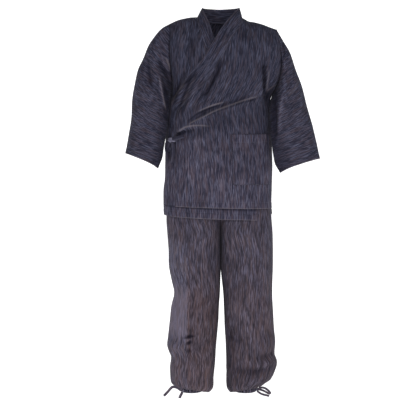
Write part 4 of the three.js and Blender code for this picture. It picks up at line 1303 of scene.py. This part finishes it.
def knot(name, at, half, facing, slant):
    """A knot of wrapped tape: a squashed bundle with the grooves between its strands."""
    rows, columns = 40, 64
    up_turn = np.linspace(0.02, math.pi - 0.02, rows)[:, None]
    turn = (2 * math.pi * np.arange(columns) / columns)[None, :]
    x = np.sin(up_turn) * np.cos(turn)
    y = np.sin(up_turn) * np.sin(turn)
    z = np.cos(up_turn) * np.ones_like(turn)
    along = x * math.cos(slant) + z * math.sin(slant)
    over = -x * math.sin(slant) + z * math.cos(slant)
    strand = np.abs(np.sin(2.6 * over + 0.8 * along)) ** 0.5
    wrap = np.exp(-((along - 0.1) / 0.34) ** 2)
    radius = 0.82 + 0.13 * strand * (1 - wrap) + wrap * (0.16 + 0.05 * np.cos(9 * over))
    shape = np.stack([x * half[0], y * half[1], z * half[2]], axis=-1) * radius[..., None]
    angle = math.atan2(facing[1], facing[0]) - math.pi / 2
    cos, sin = math.cos(angle), math.sin(angle)
    turned = np.stack([shape[..., 0] * cos - shape[..., 1] * sin,
                       shape[..., 0] * sin + shape[..., 1] * cos, shape[..., 2]], axis=-1)
    grid = turned + np.array(at)
    points = np.concatenate([grid.reshape(-1, 3), grid[0].mean(axis=0)[None], grid[-1].mean(axis=0)[None]])
    faces = cell_faces(grid_cells(rows, columns, True), columns).tolist()
    top = rows * columns
    for c in range(0, columns, 2):
        after = (c + 1) % columns
        last = (c + 2) % columns
        faces.append([top, last, after, c])
        base = (rows - 1) * columns
        faces.append([top + 1, base + c, base + after, base + last])
    faces = np.array(faces)
    if signed_volume(points, faces) < 0:
        faces = faces[:, ::-1]
    plane = np.stack([points[:, 0] + points[:, 1], points[:, 2]], axis=-1) * METRES
    wear_and_highlight = np.concatenate([strand.ravel() * 0.8, [0, 0]])
    piece = make_mesh(name, points, faces, plane[faces], {"wear_and_highlight": wear_and_highlight, "crease": np.zeros(len(points))})
    return finish_piece(piece, "tie_cloth")


UP = (0, 0, 1)
SIDEWAYS = (1, 0, 0)
FORWARDS = (0, -1, 0)
KNOT_GAP = 0.3
SIDE_KNOT_AT = (-171.0, -449.0)
SIDE_KNOT_HALF = (18, 7, 10.5)
KNOT_TURN = np.array([0, -0.6, 0])
KNOT_SHIFT = np.array([3.5, 0, 0.5])
# Painted shade over the side tie's tapes, which hang in the fold below the knot.
SIDE_TIE_SHADE = 0.5
ANKLE_TIE_FADED = 0.6
ANKLE_KNOT_HALF = (8, 5, 7)


def on_cloth(points):
    """Points given across, out and up from the side knot's place on the collar."""
    out = []
    for across, proud, up in points:
        x = SIDE_KNOT_AT[0] + across
        z = SIDE_KNOT_AT[1] + up
        out.append(on_front("outer", np.array([x]), np.array([z]), float(proud))[0])
    return np.array(out)


seat, knot_at = on_cloth([(0, 0, 0), (0, SIDE_KNOT_HALF[1] + COLLAR_OUT + KNOT_GAP, 0)])
knot_facing = unit(knot_at - seat) + KNOT_TURN
side_knot = knot("side_tie_knot", knot_at + KNOT_SHIFT, SIDE_KNOT_HALF, knot_facing, slant=0.5)
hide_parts("tie_knot")
SIDE_TAPES = {
    "loop_front": (UP, [[6, 10, 4], [20, 14, 8], [34, 13, 13], [42, 9, 14],
                        [34, 5, 12], [20, 5, 6], [6, 7, 2]]),
    "loop_back": (UP, [[-2, 10, -4], [-6, 13, -16], [-6, 12, -30], [-3, 8, -37],
                       [1, 4, -30], [3, 4, -16], [2, 6, -4]]),
    "end_front": (SIDEWAYS, [[5, 8, -5], [9, 10, -14], [10, 9, -36], [7, 8, -58], [3, 7, -84]]),
    "end_back": (SIDEWAYS, [[-8, 8, -2], [-13, 11, -12], [-13, 12, -32], [-11, 11, -52], [-12, 10, -72]]),
}
for label, (wide, route) in SIDE_TAPES.items():
    piece, line, length = tape(f"side_tie_{label}", on_cloth(route), SIDE_WIDTH, wide, shade=SIDE_TIE_SHADE)
    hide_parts(f"tie_{label}")

ANKLE_TAPES = {
    "right": {
        "end": [[-140, -25, -1376], [-147, -38, -1371], [-159, -44, -1362], [-176, -40, -1361],
                [-192, -33, -1379], [-207, -27, -1396]],
        "loop": [[-139, -24, -1383], [-143, -28, -1390], [-147, -30, -1398], [-149, -27, -1404],
                 [-147, -23, -1399], [-143, -22, -1391], [-139, -20, -1384]],
    },
    "left": {
        "loop": [[141, -4, -1375], [153, -8, -1369], [166, -10, -1370], [178, -9, -1378], [187, -6, -1389],
                 [182, -1, -1392], [170, 1, -1386], [156, 3, -1380], [142, 3, -1377]],
        "end": [[139, -4, -1382], [148, -13, -1388], [160, -16, -1393], [172, -16, -1396], [183, -14, -1399]],
    },
}
ANKLE_KNOTS = {"right": (-0.76, -1378), "left": (1.25, -1377)}
for leg, (turn, z) in ANKLE_KNOTS.items():
    surface = np.array([
        CASING_X[leg] + CASING_HALF[0] * math.sin(turn), CASING_Y - CASING_HALF[1] * math.cos(turn), z])
    facing = unit(np.array([math.sin(turn) / CASING_HALF[0], -math.cos(turn) / CASING_HALF[1], 0]))
    at = surface + facing * (ANKLE_KNOT_HALF[1] + KNOT_GAP + 1)
    ankle_knot = knot(f"ankle_tie_knot_{leg}", at, ANKLE_KNOT_HALF, facing, slant=0.4)
    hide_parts(f"ankle_knot_{leg}")
    for label, route in ANKLE_TAPES[leg].items():
        piece, line, length = tape(f"ankle_tie_{label}_{leg}", route, ANKLE_WIDTH[leg],
                                   facing=FORWARDS, tint_amount=ANKLE_TIE_FADED)
        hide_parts(f"ankle_{label}_{leg}")


# Jacket pieces

bodies = {}
# How far the tie draws the yarns of the outer front askew, in metres, and where that ends.
YARN_SLANT = 0.075
SLANT_END = 330
# Below the chest the jacket is paler: from where, and over what length.
PALER_FROM = 330
PALER_OVER = 240
# Painted shade on the side of the under front, where the outer front overhangs it.
UNDER_SHADE_TOP = 380
UNDER_SHADE_BOTTOM = 530
UNDER_SHADE_EASE = 50
BODY_NAMES = {"outer": "left", "under": "right"}
BODY_COLUMNS = {"outer": 118, "under": 92}
for front, columns in BODY_COLUMNS.items():
    body = Body(front, columns)
    bodies[front] = body
    name = BODY_NAMES[front]
    lengths = cloth_lengths(body.plain, from_last=True)
    lengths[..., 0] *= -1 if front == "outer" else 1
    if front == "outer":
        drawn = YARN_SLANT * smooth(body.level / SLANT_END)
        lengths[..., 0] += np.where((body.faces == "front")[:, None], drawn, 0)
    back_rows = np.flatnonzero((body.faces == "back") & (body.level[:, 0] >= NAPE))
    square = [((slice(None), -1), 1), ((slice(back_rows[0], None), 0), 0)]
    # Painted shade in the folds' hollows and painted highlight on their ridges.
    crease = np.zeros(body.level.shape)
    for face, folds in (("front", JACKET_FRONT_FOLDS), ("back", JACKET_BACK_FOLDS)):
        chosen = body.faces == face
        crease[chosen] = crease_mark(folds, body.plain[chosen], 3 if face == "front" else 4)
    # Painted shade along the side seam and the armhole.
    crease = crease - 0.8 * np.exp(-((body.from_side / 4) ** 2))
    # Painted shade beside the under front's side seam.
    if front == "under":
        under_front_shade = smooth((body.level - UNDER_SHADE_TOP) / UNDER_SHADE_EASE)
        under_front_shade = under_front_shade * smooth((UNDER_SHADE_BOTTOM - body.level) / UNDER_SHADE_EASE)
        crease = crease - 0.9 * np.exp(-((body.from_side / 18) ** 2)) * under_front_shade
    # Painted shade along the collar seam.
    crease = crease - 0.6 * np.exp(-((body.from_neck / 5) ** 2)) * (body.level < COLLAR_END)
    # Paler along the hems: wear, and a painted highlight along the hem's edge.
    wear_and_highlight = 0.4 * edge_wear(lengths, first=False, last=False, reach=0.004)
    at_front = body.faces == "front"
    if front == "under":
        # a painted shadow below the outer front's hem
        hem_start, hem_end = OUTER_HEM_SPAN
        below = body.level - mix(*HEM["outer"], (body.plain[..., 0] - hem_start) / (hem_end - hem_start))
        crease = crease - 0.9 * smooth((below + 3) / 3) * (1 - smooth((below - 3) / 6)) * at_front[:, None]
    front_grid = body.plain[at_front]
    # Painted highlights and painted shade along the sharpest folds.
    wear_and_highlight[at_front] = np.maximum(wear_and_highlight[at_front], 0.85 * line_marks(RIDGE_HIGHLIGHTS_FRONT, front_grid))
    crease[at_front] -= line_marks(SHADED_FRONT, front_grid)
    tint_amount = smooth((body.level - PALER_FROM) / PALER_OVER)
    piece = cloth_wall(f"body_{name}_cloth", body.grid, lengths, CLOTH, INSIDE_BODY,
                       square=square, wear_and_highlight=wear_and_highlight, crease=crease, tint_amount=tint_amount)
    finish_piece(piece, "jacket_cloth", f"body_{name}")
    body.piece = piece
    rows = []
    for face in ("front", "back"):
        chosen = np.flatnonzero(body.faces == face)
        row = chosen[np.abs(body.hem_gap[chosen] - HEM_FOLD).argmin()]
        rows.append(stitch_row(body.grid[row], body.normals[row]))
    body.seam = stitches(f"stitches_body_{name}", rows)


# Collar band

STANDS_TO = 70
LIES_FROM = 110
# How far the collar is sewn over the edge of the body: in millimetres, and as an angle lower down.
COLLAR_OVER = 3.5
COLLAR_SHIFT = 0.014
COLLAR_SHARES = np.concatenate([[0, 0.03, 0.07], np.linspace(0.14, 0.88, 9), [0.94, 0.975, 1]])


def standing_edge(front, level):
    necks = NECKLINE[front]
    places = []
    for row in necks.rows:
        y = row[3]
        if math.isnan(y):
            y = on_front(front, np.array([row[2]]), np.array([row[4]]), COLLAR_OUT)[0, 1]
        places.append([row[0], row[2], y, row[4]])
    edge = Table("level x y z", places)
    return np.stack([edge("x", level), edge("y", level), edge("z", level)], axis=-1)


def standing_rows(seam, edge):
    start = seam - unit(edge - seam) * COLLAR_OVER
    return start[:, None] + (edge - start)[:, None] * COLLAR_SHARES[None, :, None]


def collar_front(front, level):
    seam_angle = inner_angle(front, "front", level)
    seam = torso_point("front", front, seam_angle, level, COLLAR_OUT)
    rows = standing_rows(seam, standing_edge(front, level))
    edge_x = NECKLINE[front]("edgeX", level)
    edge_level = -NECKLINE[front]("edgeZ", level)
    start = seam_angle + (COLLAR_SHIFT if front == "outer" else -COLLAR_SHIFT)
    angle = mix(start[:, None], angle_of(edge_x, edge_level)[:, None], COLLAR_SHARES[None, :])
    down = mix(level[:, None], edge_level[:, None], COLLAR_SHARES[None, :])
    lying = torso_point("front", front, angle, down, COLLAR_OUT)
    lies = smooth((level - STANDS_TO) / (LIES_FROM - STANDS_TO))[:, None, None]
    return mix(rows, lying, lies)


def collar_nape(front, level):
    sign = 1 if front == "outer" else -1
    turn = (level / NAPE) ** 2
    angle = turn * math.pi / 2
    start = standing_edge(front, np.zeros(1))[0]
    edge = np.stack([
        start[0] * np.cos(angle),
        mix(start[1], NAPE_EDGE[0], np.sin(angle)),
        mix(start[2], NAPE_EDGE[1], turn),
    ], axis=-1)
    seam = torso_point("back", front, angle_of(sign * nape_x(level), level), level, COLLAR_OUT)
    return standing_rows(seam, edge)


front_levels = even_levels("front", COLLAR_END)
nape_turns = np.linspace(0, 1, 20)[1:]
nape_levels = NAPE * np.sqrt(nape_turns)
collar_grid = np.concatenate([
    collar_front("outer", front_levels[::-1]),
    collar_nape("outer", nape_levels),
    collar_nape("under", nape_levels[:-1][::-1]),
    collar_front("under", front_levels),
])
collar_lengths = cloth_lengths(collar_grid)
crown = 0.9 * np.sin(math.pi * COLLAR_SHARES) ** 0.6
collar_across, collar_down = np.moveaxis(collar_lengths * 1000, -1, 0)
puckers = 0.35 * creasing(12, collar_across, collar_down, 0, size=26)
collar_normals = grid_normals(collar_grid, False, INSIDE_NECK)
collar_surface = collar_grid + collar_normals * (crown[None, :] + puckers * crown[None, :])[..., None]
at_front = collar_grid[..., 1] < 0
# Painted shade in the folds' hollows and along sharp creases, painted highlight on the ridges.
collar_crease = 0.5 * crease_mark(JACKET_FRONT_FOLDS, collar_grid, 12)
collar_crease = collar_crease - line_marks(SHADED_FRONT, collar_grid) * at_front
# Painted highlights along the sharpest folds, added to wear at the collar's edges.
collar_highlight_lines = line_marks(RIDGE_HIGHLIGHTS_FRONT, collar_grid) * at_front
collar_wear_and_highlight = np.maximum(0.12 * edge_wear(collar_lengths), 0.7 * collar_highlight_lines)
collar = cloth_wall("collar_cloth", collar_surface, collar_lengths, COLLAR_CLOTH, INSIDE_NECK,
                    wear_and_highlight=collar_wear_and_highlight, crease=collar_crease)
finish_piece(collar, "jacket_cloth", "collar")


# Sleeves

def sleeve_grid(arm, runs, turn):
    side = "left" if arm == "right" else "right"
    out = -1 if arm == "right" else 1
    get = SLEEVE[arm]
    c = np.cos(turn)[None, :]
    s = np.sin(turn)[None, :]

    def ring(at):
        at = np.asarray(at, float)[:, None]
        ease = smooth(at)
        dip = CUFF_DIP * ease * np.maximum(0, s) + CUFF_CORNER * ease * np.maximum(0, -c) ** 3
        lap = SLEEVE_LAP * smooth(at * SLEEVE_LAP_BLEND) * (1 - c) / 2
        return np.stack([
            mix(get("innerX", at), get("outerX", at), (1 + c) / 2),
            -get("forward", at) - get("depth", at) * s - lap,
            mix(get("innerZ", at), get("outerZ", at), (1 + c) / 2) - dip,
        ], axis=-1)

    level = ARMHOLE[side] * (1 - np.cos(turn)) / 2
    angle = np.full(level.shape, out * math.pi / 2)
    front = torso_form("front", angle, level)
    back = torso_form("back", angle, level)
    armhole = np.where((np.sin(turn) >= 0)[:, None], front, back)
    armhole[:, 0] += out * SLEEVE_GAP
    grid = ring(runs) + (armhole[None] - ring([0.0])) * ((1 - runs) ** 3)[:, None, None]
    middle = grid.mean(axis=1, keepdims=True)
    away = unit(grid - middle)
    fade = smooth(runs * 8)[:, None] * np.abs(s) ** 0.5
    x = grid[..., 0]
    z = grid[..., 2]
    lift = fold_height(SLEEVE_FOLDS[arm], x, z)
    wander = creasing(21 if arm == "right" else 22, x, z, 100)
    return grid + away * ((lift + wander) * fade)[..., None]


SLEEVE_STEPS = 116
SLEEVE_TURNS = math.pi + 2 * math.pi * np.arange(SLEEVE_STEPS) / SLEEVE_STEPS
SLEEVE_LENGTH = 545.0
ARMHOLE_ROWS = np.array([4.5, 2.5, 1.2, 0])
# The yarns of a sleeve fan out a little from this point, below the other hip.
YARN_CENTRE = (397, -737)
YARN_REACH = 0.8
SLEEVE_TINT = 0.3
for arm in ("left", "right"):
    gaps = with_hem(SLEEVE_LENGTH)[:-1]
    gaps = np.concatenate([gaps[gaps < SLEEVE_LENGTH - 7], SLEEVE_LENGTH - ARMHOLE_ROWS])[::-1]
    runs = 1 - gaps / SLEEVE_LENGTH
    grid = sleeve_grid(arm, runs, SLEEVE_TURNS)
    normals = grid_normals(grid, True, grid.mean(axis=1, keepdims=True))
    lengths = cloth_lengths(grid, around=True)
    from_armhole = np.repeat((SLEEVE_LENGTH - gaps)[:, None], SLEEVE_STEPS, axis=1)
    around_arm = lengths[:, :-1, 0] / METRES
    pull = seam_pull(from_armhole, True, around_arm) * (from_armhole < 40) * np.abs(normals[..., 1])
    lift = hem_lift(gaps)[:, None] - pull
    surface = grid + normals * lift[..., None]
    closed = np.concatenate([grid, grid[:, :1]], axis=1)
    sign = -1 if arm == "right" else 1
    slope = np.arctan2(closed[..., 2] - YARN_CENTRE[1], sign * closed[..., 0] + YARN_CENTRE[0])
    lengths = np.stack([slope * YARN_REACH, lengths[..., 0]], axis=-1)
    # Painted shade in the folds and along the armhole seam, painted highlight on the ridges.
    crease = crease_mark(SLEEVE_FOLDS[arm], grid, 21) - 0.7 * np.exp(-((from_armhole / 4) ** 2))
    # Painted shade on the inner side of the sleeve, towards the body.
    inner_side = smooth((-np.cos(SLEEVE_TURNS) - 0.2) / 0.7)
    crease = crease - 0.85 * inner_side * smooth(runs * 2.5)[:, None]
    wear_and_highlight = np.repeat((1 - smooth(gaps / 4))[:, None], SLEEVE_STEPS, axis=1)
    at_front = normals[..., 1] < 0
    # Painted highlights and painted shade along the sharp folds in front.
    wear_and_highlight = np.maximum(wear_and_highlight, line_marks(RIDGE_HIGHLIGHTS_SLEEVES[arm], grid) * at_front)
    crease = crease - line_marks(SHADED_SLEEVES[arm], grid) * at_front
    piece = cloth_wall(f"sleeve_{arm}_cloth", surface, lengths, CLOTH, grid.mean(axis=1, keepdims=True),
                       around=True, square=[((0, slice(None)), 0)],
                       wear_and_highlight=wear_and_highlight, crease=crease, tint_amount=SLEEVE_TINT)
    finish_piece(piece, "jacket_cloth", f"sleeve_{arm}")
    row = np.abs(gaps - HEM_FOLD).argmin()
    ring = np.concatenate([surface[row], surface[row][:1]])
    ring_normals = np.concatenate([normals[row], normals[row][:1]])
    seam = stitches(f"stitches_sleeve_{arm}", [stitch_row(ring, ring_normals)])


# Patch pocket on the outer front

POCKET_SHARES = (0.463, 0.8735)
POCKET_TOP = 425
POCKET_BOTTOM_STEP = 0.65
POCKET_HEM = 30
POCKET_TINT = 0.85
# How far the pocket's yarns lie beside those of the body, in metres.
POCKET_YARNS_ASIDE = np.array([0.0009, 0.0])

outer = bodies["outer"]
edge, side_hem = HEM["outer"]
bottom_gap = ((edge + side_hem) / 2 - COLLAR_END) * (1 - POCKET_BOTTOM_STEP)
front_rows = np.flatnonzero(outer.faces == "front")
bottom_row = front_rows[np.abs(outer.hem_gap[front_rows] - bottom_gap).argmin()]
top_row = front_rows[np.abs(outer.level[front_rows, 0] - POCKET_TOP).argmin()]
first_column = np.abs(outer.shares - POCKET_SHARES[0]).argmin()
last_column = np.abs(outer.shares - POCKET_SHARES[1]).argmin()
part = (slice(bottom_row, top_row + 1), slice(first_column, last_column + 1))
base = outer.plain[part]
base_normals = outer.normals[part]


def finer(values, factor=2):
    """The same grid with more points, by straight steps between them."""
    rows = np.linspace(0, values.shape[0] - 1, (values.shape[0] - 1) * factor + 1)
    columns = np.linspace(0, values.shape[1] - 1, (values.shape[1] - 1) * factor + 1)
    r = np.minimum(rows.astype(int), values.shape[0] - 2)
    c = np.minimum(columns.astype(int), values.shape[1] - 2)
    fr = (rows - r)[:, None, None]
    fc = (columns - c)[None, :, None]
    low = values[r][:, c] * (1 - fc) + values[r][:, c + 1] * fc
    high = values[r + 1][:, c] * (1 - fc) + values[r + 1][:, c + 1] * fc
    return low * (1 - fr) + high * fr


base = finer(base)
base_normals = unit(finer(base_normals))
pocket_lengths = cloth_lengths(base)
across = pocket_lengths[..., 0] * 1000
down = pocket_lengths[..., 1] * 1000
wide = across[:, -1:]
tall = down[-1:, :]
from_edge = np.minimum(np.minimum(across, wide - across), np.minimum(down, tall - down))
top_gap = tall - down
proud = 0.9 * smooth(from_edge / 12) * (0.6 + 0.4 * smooth(down / tall))
groove = -0.45 * np.exp(-((from_edge - 2.6) / 1.2) ** 2) * (top_gap > 3)
groove = groove - 0.5 * np.exp(-((top_gap - POCKET_HEM) / 1.3) ** 2)
hem_band = 0.5 * smooth((POCKET_HEM - top_gap) / 1.5)
gape = 1.6 * smooth(1 - top_gap / 16) * np.sin(math.pi * across / wide) ** 2
pocket_grid = base + base_normals * (POCKET_GAP + POCKET_CLOTH + proud + groove + hem_band + gape)[..., None]
whole = cloth_lengths(outer.plain, from_last=True)
whole[..., 0] *= -1
pocket_cloth_lengths = finer(whole[part]) + POCKET_YARNS_ASIDE
pocket_worn = 0.05 * (1 - smooth(from_edge / 4))
# Painted shade in the folds and along the pocket's edges, painted highlight on the ridges.
pocket_crease = crease_mark(JACKET_FRONT_FOLDS, base, 3) - 0.8 * (1 - smooth((from_edge - 0.5) / 3))
pocket = cloth_wall("pocket_cloth", pocket_grid, pocket_cloth_lengths, POCKET_CLOTH, INSIDE_BODY,
                    wear_and_highlight=pocket_worn, crease=pocket_crease, tint_amount=POCKET_TINT)
finish_piece(pocket, "jacket_cloth", "pocket")


def pocket_line(pairs):
    rows = np.array([p[0] for p in pairs])
    columns = np.array([p[1] for p in pairs])
    return stitch_row(pocket_grid[rows, columns], base_normals[rows, columns], pitch=3.6, length=2.5)


last_row = pocket_grid.shape[0] - 1
last_col = pocket_grid.shape[1] - 1
hem_row = np.abs(top_gap[:, 0] - POCKET_HEM).argmin()
pocket_seam = stitches("stitches_pocket", [
    pocket_line([(r, 1) for r in range(last_row - 1, 0, -1)]),
    pocket_line([(1, c) for c in range(1, last_col)]),
    pocket_line([(r, last_col - 1) for r in range(1, last_row)]),
    pocket_line([(hem_row, c) for c in range(1, last_col)]),
])


# Trousers

# Painted highlight and painted shade strokes of the crumple at the right knee.
KNEE_TONES = [
    Fold(-1.4, 4.8, [-144, -1175], [-126, -1173], [-106, -1166], [-92, -1166]),
    Fold(-1.0, 4.6, [-134, -1197], [-120, -1193], [-106, -1184]),
    Fold(-0.8, 5.0, [-128, -1229], [-120, -1223], [-110, -1216]),
    Fold(1.2, 4.6, [-176, -1182], [-150, -1186], [-130, -1184], [-112, -1178]),
    Fold(1.0, 4.8, [-136, -1210], [-120, -1206], [-108, -1199]),
]


# Heights between which the tones of the legs change.
BROWN_FROM = -850
BROWN_UNTIL = -1100
BROWN_AT_END = {"right": 0.95, "left": 0.6}
PRESSED_FROM = -790
PALE_FROM = -960
PALE_UNTIL = -1200
BELOW_KNEE = -1190
LOW_LEG = -1150
# Painted light over the shaded place at the fork.
FORK_LIGHT = 0.35
FORK_LIGHT_Z = -745


def leg_tones(leg, face, grid):
    """How much painted warm shading the legs get lower down, how light or dark parts of them are painted, and
    how much painted light pales a strip of the right leg.
    """
    x = grid[..., 0]
    z = grid[..., 2]
    warm_shading = mix(0.3, BROWN_AT_END[leg], smooth((BROWN_FROM - z) / (BROWN_FROM - BROWN_UNTIL)))
    tone = np.zeros(x.shape)
    pale = np.zeros(x.shape)
    if leg == "right":
        # Outside the pressed crease the right leg is painted lighter and less warm: painted light on that
        # facet. Below the knee it is a little lighter.
        pressed = smooth((-118 - x) / 4) if face == "front" else smooth((-110 - x) / 80)
        pressed = pressed * smooth((PRESSED_FROM - z) / 80)
        calf = smooth((BELOW_KNEE - z) / 60)
        warm_shading = warm_shading * (1 - pressed * mix(0.9, 0.45, calf))
        tone = 0.85 * pressed + 0.25 * calf * (1 - pressed)
        pale = 0.4 * pressed * smooth((PALE_FROM - z) / 80) * smooth((z - PALE_UNTIL) / 70)
        if face == "front":
            tone = tone + fold_height(KNEE_TONES, x, z)
    if leg == "left":
        # The left leg is darker towards the bottom.
        tone = -0.25 * smooth((LOW_LEG - z) / 120)
    if face == "front":
        # Painted light at the fork.
        at_fork = np.exp(-((x - CENTRE) / 22) ** 2 - ((z - FORK_LIGHT_Z) / 34) ** 2)
        tone = tone + FORK_LIGHT * at_fork
    return warm_shading, tone, pale


def trouser_grid(leg, face, shares, levels):
    out = -1 if leg == "right" else 1
    side = "left" if leg == "right" else "right"
    sign = -1 if face == "front" else 1
    share, z = np.meshgrid(shares, levels)
    fork = smooth((FORK_START - z) / (FORK_START - FORK)) ** 1.6
    start = CENTRE + out * SEAM_GAP
    hip_turn = share * math.pi / 2
    hip = np.stack([
        mix(start, HIP(side, z), np.sin(hip_turn)),
        sign * HIP(face, z) * np.maximum(0, np.cos(hip_turn)) ** SECTION_POWER,
        z,
    ], axis=-1)
    turn = (share - 0.5) * math.pi
    outer_x = LEG[leg]("outer", z)
    inner_x = LEG[leg]("inner", z)
    seam = LEG[leg]("seam", z)
    reach = sign * LEG[leg](face, z) - seam
    round_ = np.maximum(0, np.cos(turn)) ** LEG_POWER
    ring = np.stack([mix(inner_x, outer_x, (1 + np.sin(turn)) / 2), seam + reach * round_, z], axis=-1)
    point = mix(hip, ring, fork[..., None])
    point[..., 1] += sign * SEAM_GAP / 2
    middle = np.stack([(outer_x + inner_x) / 2, seam, z], axis=-1)
    away = unit(point - middle)
    near_end = smooth((GATHER_TOP - z) / (GATHER_TOP - LEG_END))
    wave = GATHER_DEPTH * near_end * np.cos(2 * math.pi * GATHERS * share)
    pleats = creasing(31 if leg == "right" else 32, share * 400, z * 0.15, 90,
                      size=34, count=8, spread=0.12)
    fine = 1.8 * near_end ** 1.5 * pleats * smooth(share * 8) * smooth((1 - share) * 8)
    folds = (LEG_FRONT_FOLDS if face == "front" else LEG_BACK_FOLDS)[leg]
    settle = smooth(share * 5) * smooth((1 - share) * 5)
    ease = 1 - smooth((LEG_END + 30 - z) / 30)
    lift = fold_height(folds, point[..., 0], point[..., 2])
    low_leg = smooth((-1000 - z) / 200)
    wander = (0.8 + 1.0 * low_leg) * creasing(33 if face == "front" else 34, point[..., 0], z, 75)
    point = point + away * ((lift + wander) * settle * ease - wave + fine)[..., None]
    hang = smooth((BLOUSE_TOP - z) / (BLOUSE_TOP - BLOUSE_FOLD))
    hang = hang * smooth((z - LEG_END) / (BLOUSE_FOLD - LEG_END))
    point[..., 2] -= BLOUSE("drop", share) * hang
    return point, folds


trouser_levels = np.concatenate([
    np.linspace(WAIST, GATHER_TOP, 150)[:-1], np.linspace(GATHER_TOP, BLOUSE_TOP, 10)[:-1],
    np.linspace(BLOUSE_TOP, LEG_END, 22)])
trouser_shares = np.linspace(0, 1, 66)
# Where the yarns of each leg start, in metres, so that the legs don't look alike.
YARN_START = {"left": 0.7, "right": 1.9}
for leg in ("left", "right"):
    for face in ("front", "back"):
        grid, folds = trouser_grid(leg, face, trouser_shares, trouser_levels)
        middle = (float(LEG[leg]("outer", FORK)) + CENTRE) / 2
        centre = np.stack(np.broadcast_arrays(middle, 8.0, grid[..., 2]), axis=-1)
        low = np.flatnonzero(trouser_levels <= FORK)
        square = [((slice(None), -1), 1), ((slice(low[0], None), 0), 1)]
        lengths = cloth_lengths(grid, from_last=True)
        gathered = np.flatnonzero(trouser_levels <= GATHER_TOP)[0]
        lengths[gathered:, :, 0] = lengths[gathered, :, 0]
        lengths[..., 0] += YARN_START[leg]
        warm_shading, tone, pale = leg_tones(leg, face, grid)
        # Wear at the seams, joined by the painted light on the right leg's outer strip.
        seam_wear_and_facet_light = np.maximum(pale, 0.25 * edge_wear(lengths, top=False, bottom=False, reach=0.005))
        piece = cloth_wall(f"trouser_{face}_{leg}_cloth", grid, lengths, CLOTH, centre, square=square,
                           wear_and_highlight=seam_wear_and_facet_light, crease=crease_mark(folds, grid, 33) + tone, tint_amount=warm_shading)
        finish_piece(piece, "trouser_cloth", f"trouser_{face}_{leg}")


def pleated_ring(name, middle, half, bottom, top, steps, pleats, depth, seed):
    """A gathered band: a closed ring of cloth with many small uneven pleats."""
    rows = max(6, int((top - bottom) / 2.2))
    z = np.linspace(bottom, top, rows)[:, None]
    turn = (2 * math.pi * np.arange(steps) / steps)[None, :]
    chance = np.random.RandomState(seed)
    wave = np.zeros(turn.shape)
    for k in range(5):
        count = pleats + chance.randint(-pleats // 3, pleats // 3)
        wave = wave + np.sin(count * turn + chance.uniform(0, 6.28)) * chance.uniform(0.3, 0.6)
    height = (z - bottom) / (top - bottom)
    fade = np.sin(math.pi * np.clip(height, 0.0, 1.0)) ** 0.5
    slip = wave * depth * (0.35 + 0.65 * fade)
    out = slip + fade - 0.5 * depth
    x = middle[0] + (half[0] + out) * np.sin(turn)
    y = middle[1] - (half[1] + out) * np.cos(turn)
    grid = np.stack(np.broadcast_arrays(x, y, z + 0 * turn), axis=-1)
    centre = np.stack(np.broadcast_arrays(middle[0], middle[1], z + 0 * turn), axis=-1)
    lengths = cloth_lengths(grid, around=True)
    # Painted highlight on the crests of the pleats and painted shade between them.
    piece = cloth_wall(name, grid, lengths, CLOTH, centre, around=True, crease=np.clip(wave, -1, 1))
    return finish_piece(piece, "trouser_cloth")


waistband = pleated_ring("waistband_cloth", (-1, 0), WAISTBAND_HALF, WAIST + SEAM_GAP, WAIST + WAISTBAND_TALL,
                         steps=420, pleats=64, depth=0.8, seed=5)
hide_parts("waistband")
for leg in ("left", "right"):
    casing = pleated_ring(f"ankle_casing_{leg}_cloth", (CASING_X[leg], CASING_Y), CASING_HALF, CASING_BOTTOM,
                          CASING_TOP, steps=240, pleats=30, depth=0.7, seed=6)
    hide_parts(f"ankle_casing_{leg}")


# Floor, backdrop and light

FLOOR = -1475
STAGE_HALF = 9000
STAGE_FLAT = 6600
STAGE_SWEEP = 2400
STAGE_TALL = 3600
STAGE_STEPS = 73
strip = np.linspace(-STAGE_HALF, STAGE_HALF, STAGE_STEPS)
x, y = np.meshgrid(strip, strip)
rise = smooth((np.hypot(x, y) - STAGE_FLAT) / STAGE_SWEEP) * STAGE_TALL
stage_points = np.stack([x, y, FLOOR + rise], axis=-1).reshape(-1, 3)
stage_faces = cell_faces(grid_cells(STAGE_STEPS, STAGE_STEPS), STAGE_STEPS)
stage = make_mesh("stage", stage_points, stage_faces, stage_points[stage_faces][..., :2] * METRES)
paper = bpy.data.materials.new("stage_paper")
paper.use_nodes = True
paper_shader = paper.node_tree.nodes["Principled BSDF"]
paper_shader.inputs["Base Color"].default_value = (0.86, 0.86, 0.87, 1)
paper_shader.inputs["Roughness"].default_value = 0.9
paper_shader.inputs["Emission Color"].default_value = (1, 1, 1, 1)
paper_shader.inputs["Emission Strength"].default_value = 0.7
stage.data.materials.append(paper)
stage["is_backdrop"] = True


def area_light(name, at, aim, size, power):
    light = bpy.data.lights.new(name, "AREA")
    light.shape = "RECTANGLE"
    light.size = size[0]
    light.size_y = size[1]
    light.energy = power
    lamp = bpy.data.objects.new(name, light)
    lamp.location = at
    lamp.rotation_euler = (Vector(aim) - Vector(at)).to_track_quat("-Z", "Y").to_euler()
    bpy.context.scene.collection.objects.link(lamp)


area_light("key", (-0.3, -4.4, 0.5), (0, 0, -0.7), (1.0, 1.0), 87)
area_light("fill", (1.8, -4.0, 1.2), (0, 0, -0.8), (2.0, 2.0), 26)
area_light("back", (-1.4, 4.6, 2.2), (0, 0, -0.6), (2.0, 2.0), 110)

world = bpy.data.worlds.new("studio")
world.use_nodes = True
world.node_tree.nodes["Background"].inputs["Color"].default_value = (0.97, 0.98, 1, 1)
world.node_tree.nodes["Background"].inputs["Strength"].default_value = 0.22
bpy.context.scene.world = world
bpy.context.scene.view_settings.view_transform = "Standard"

low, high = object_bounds()
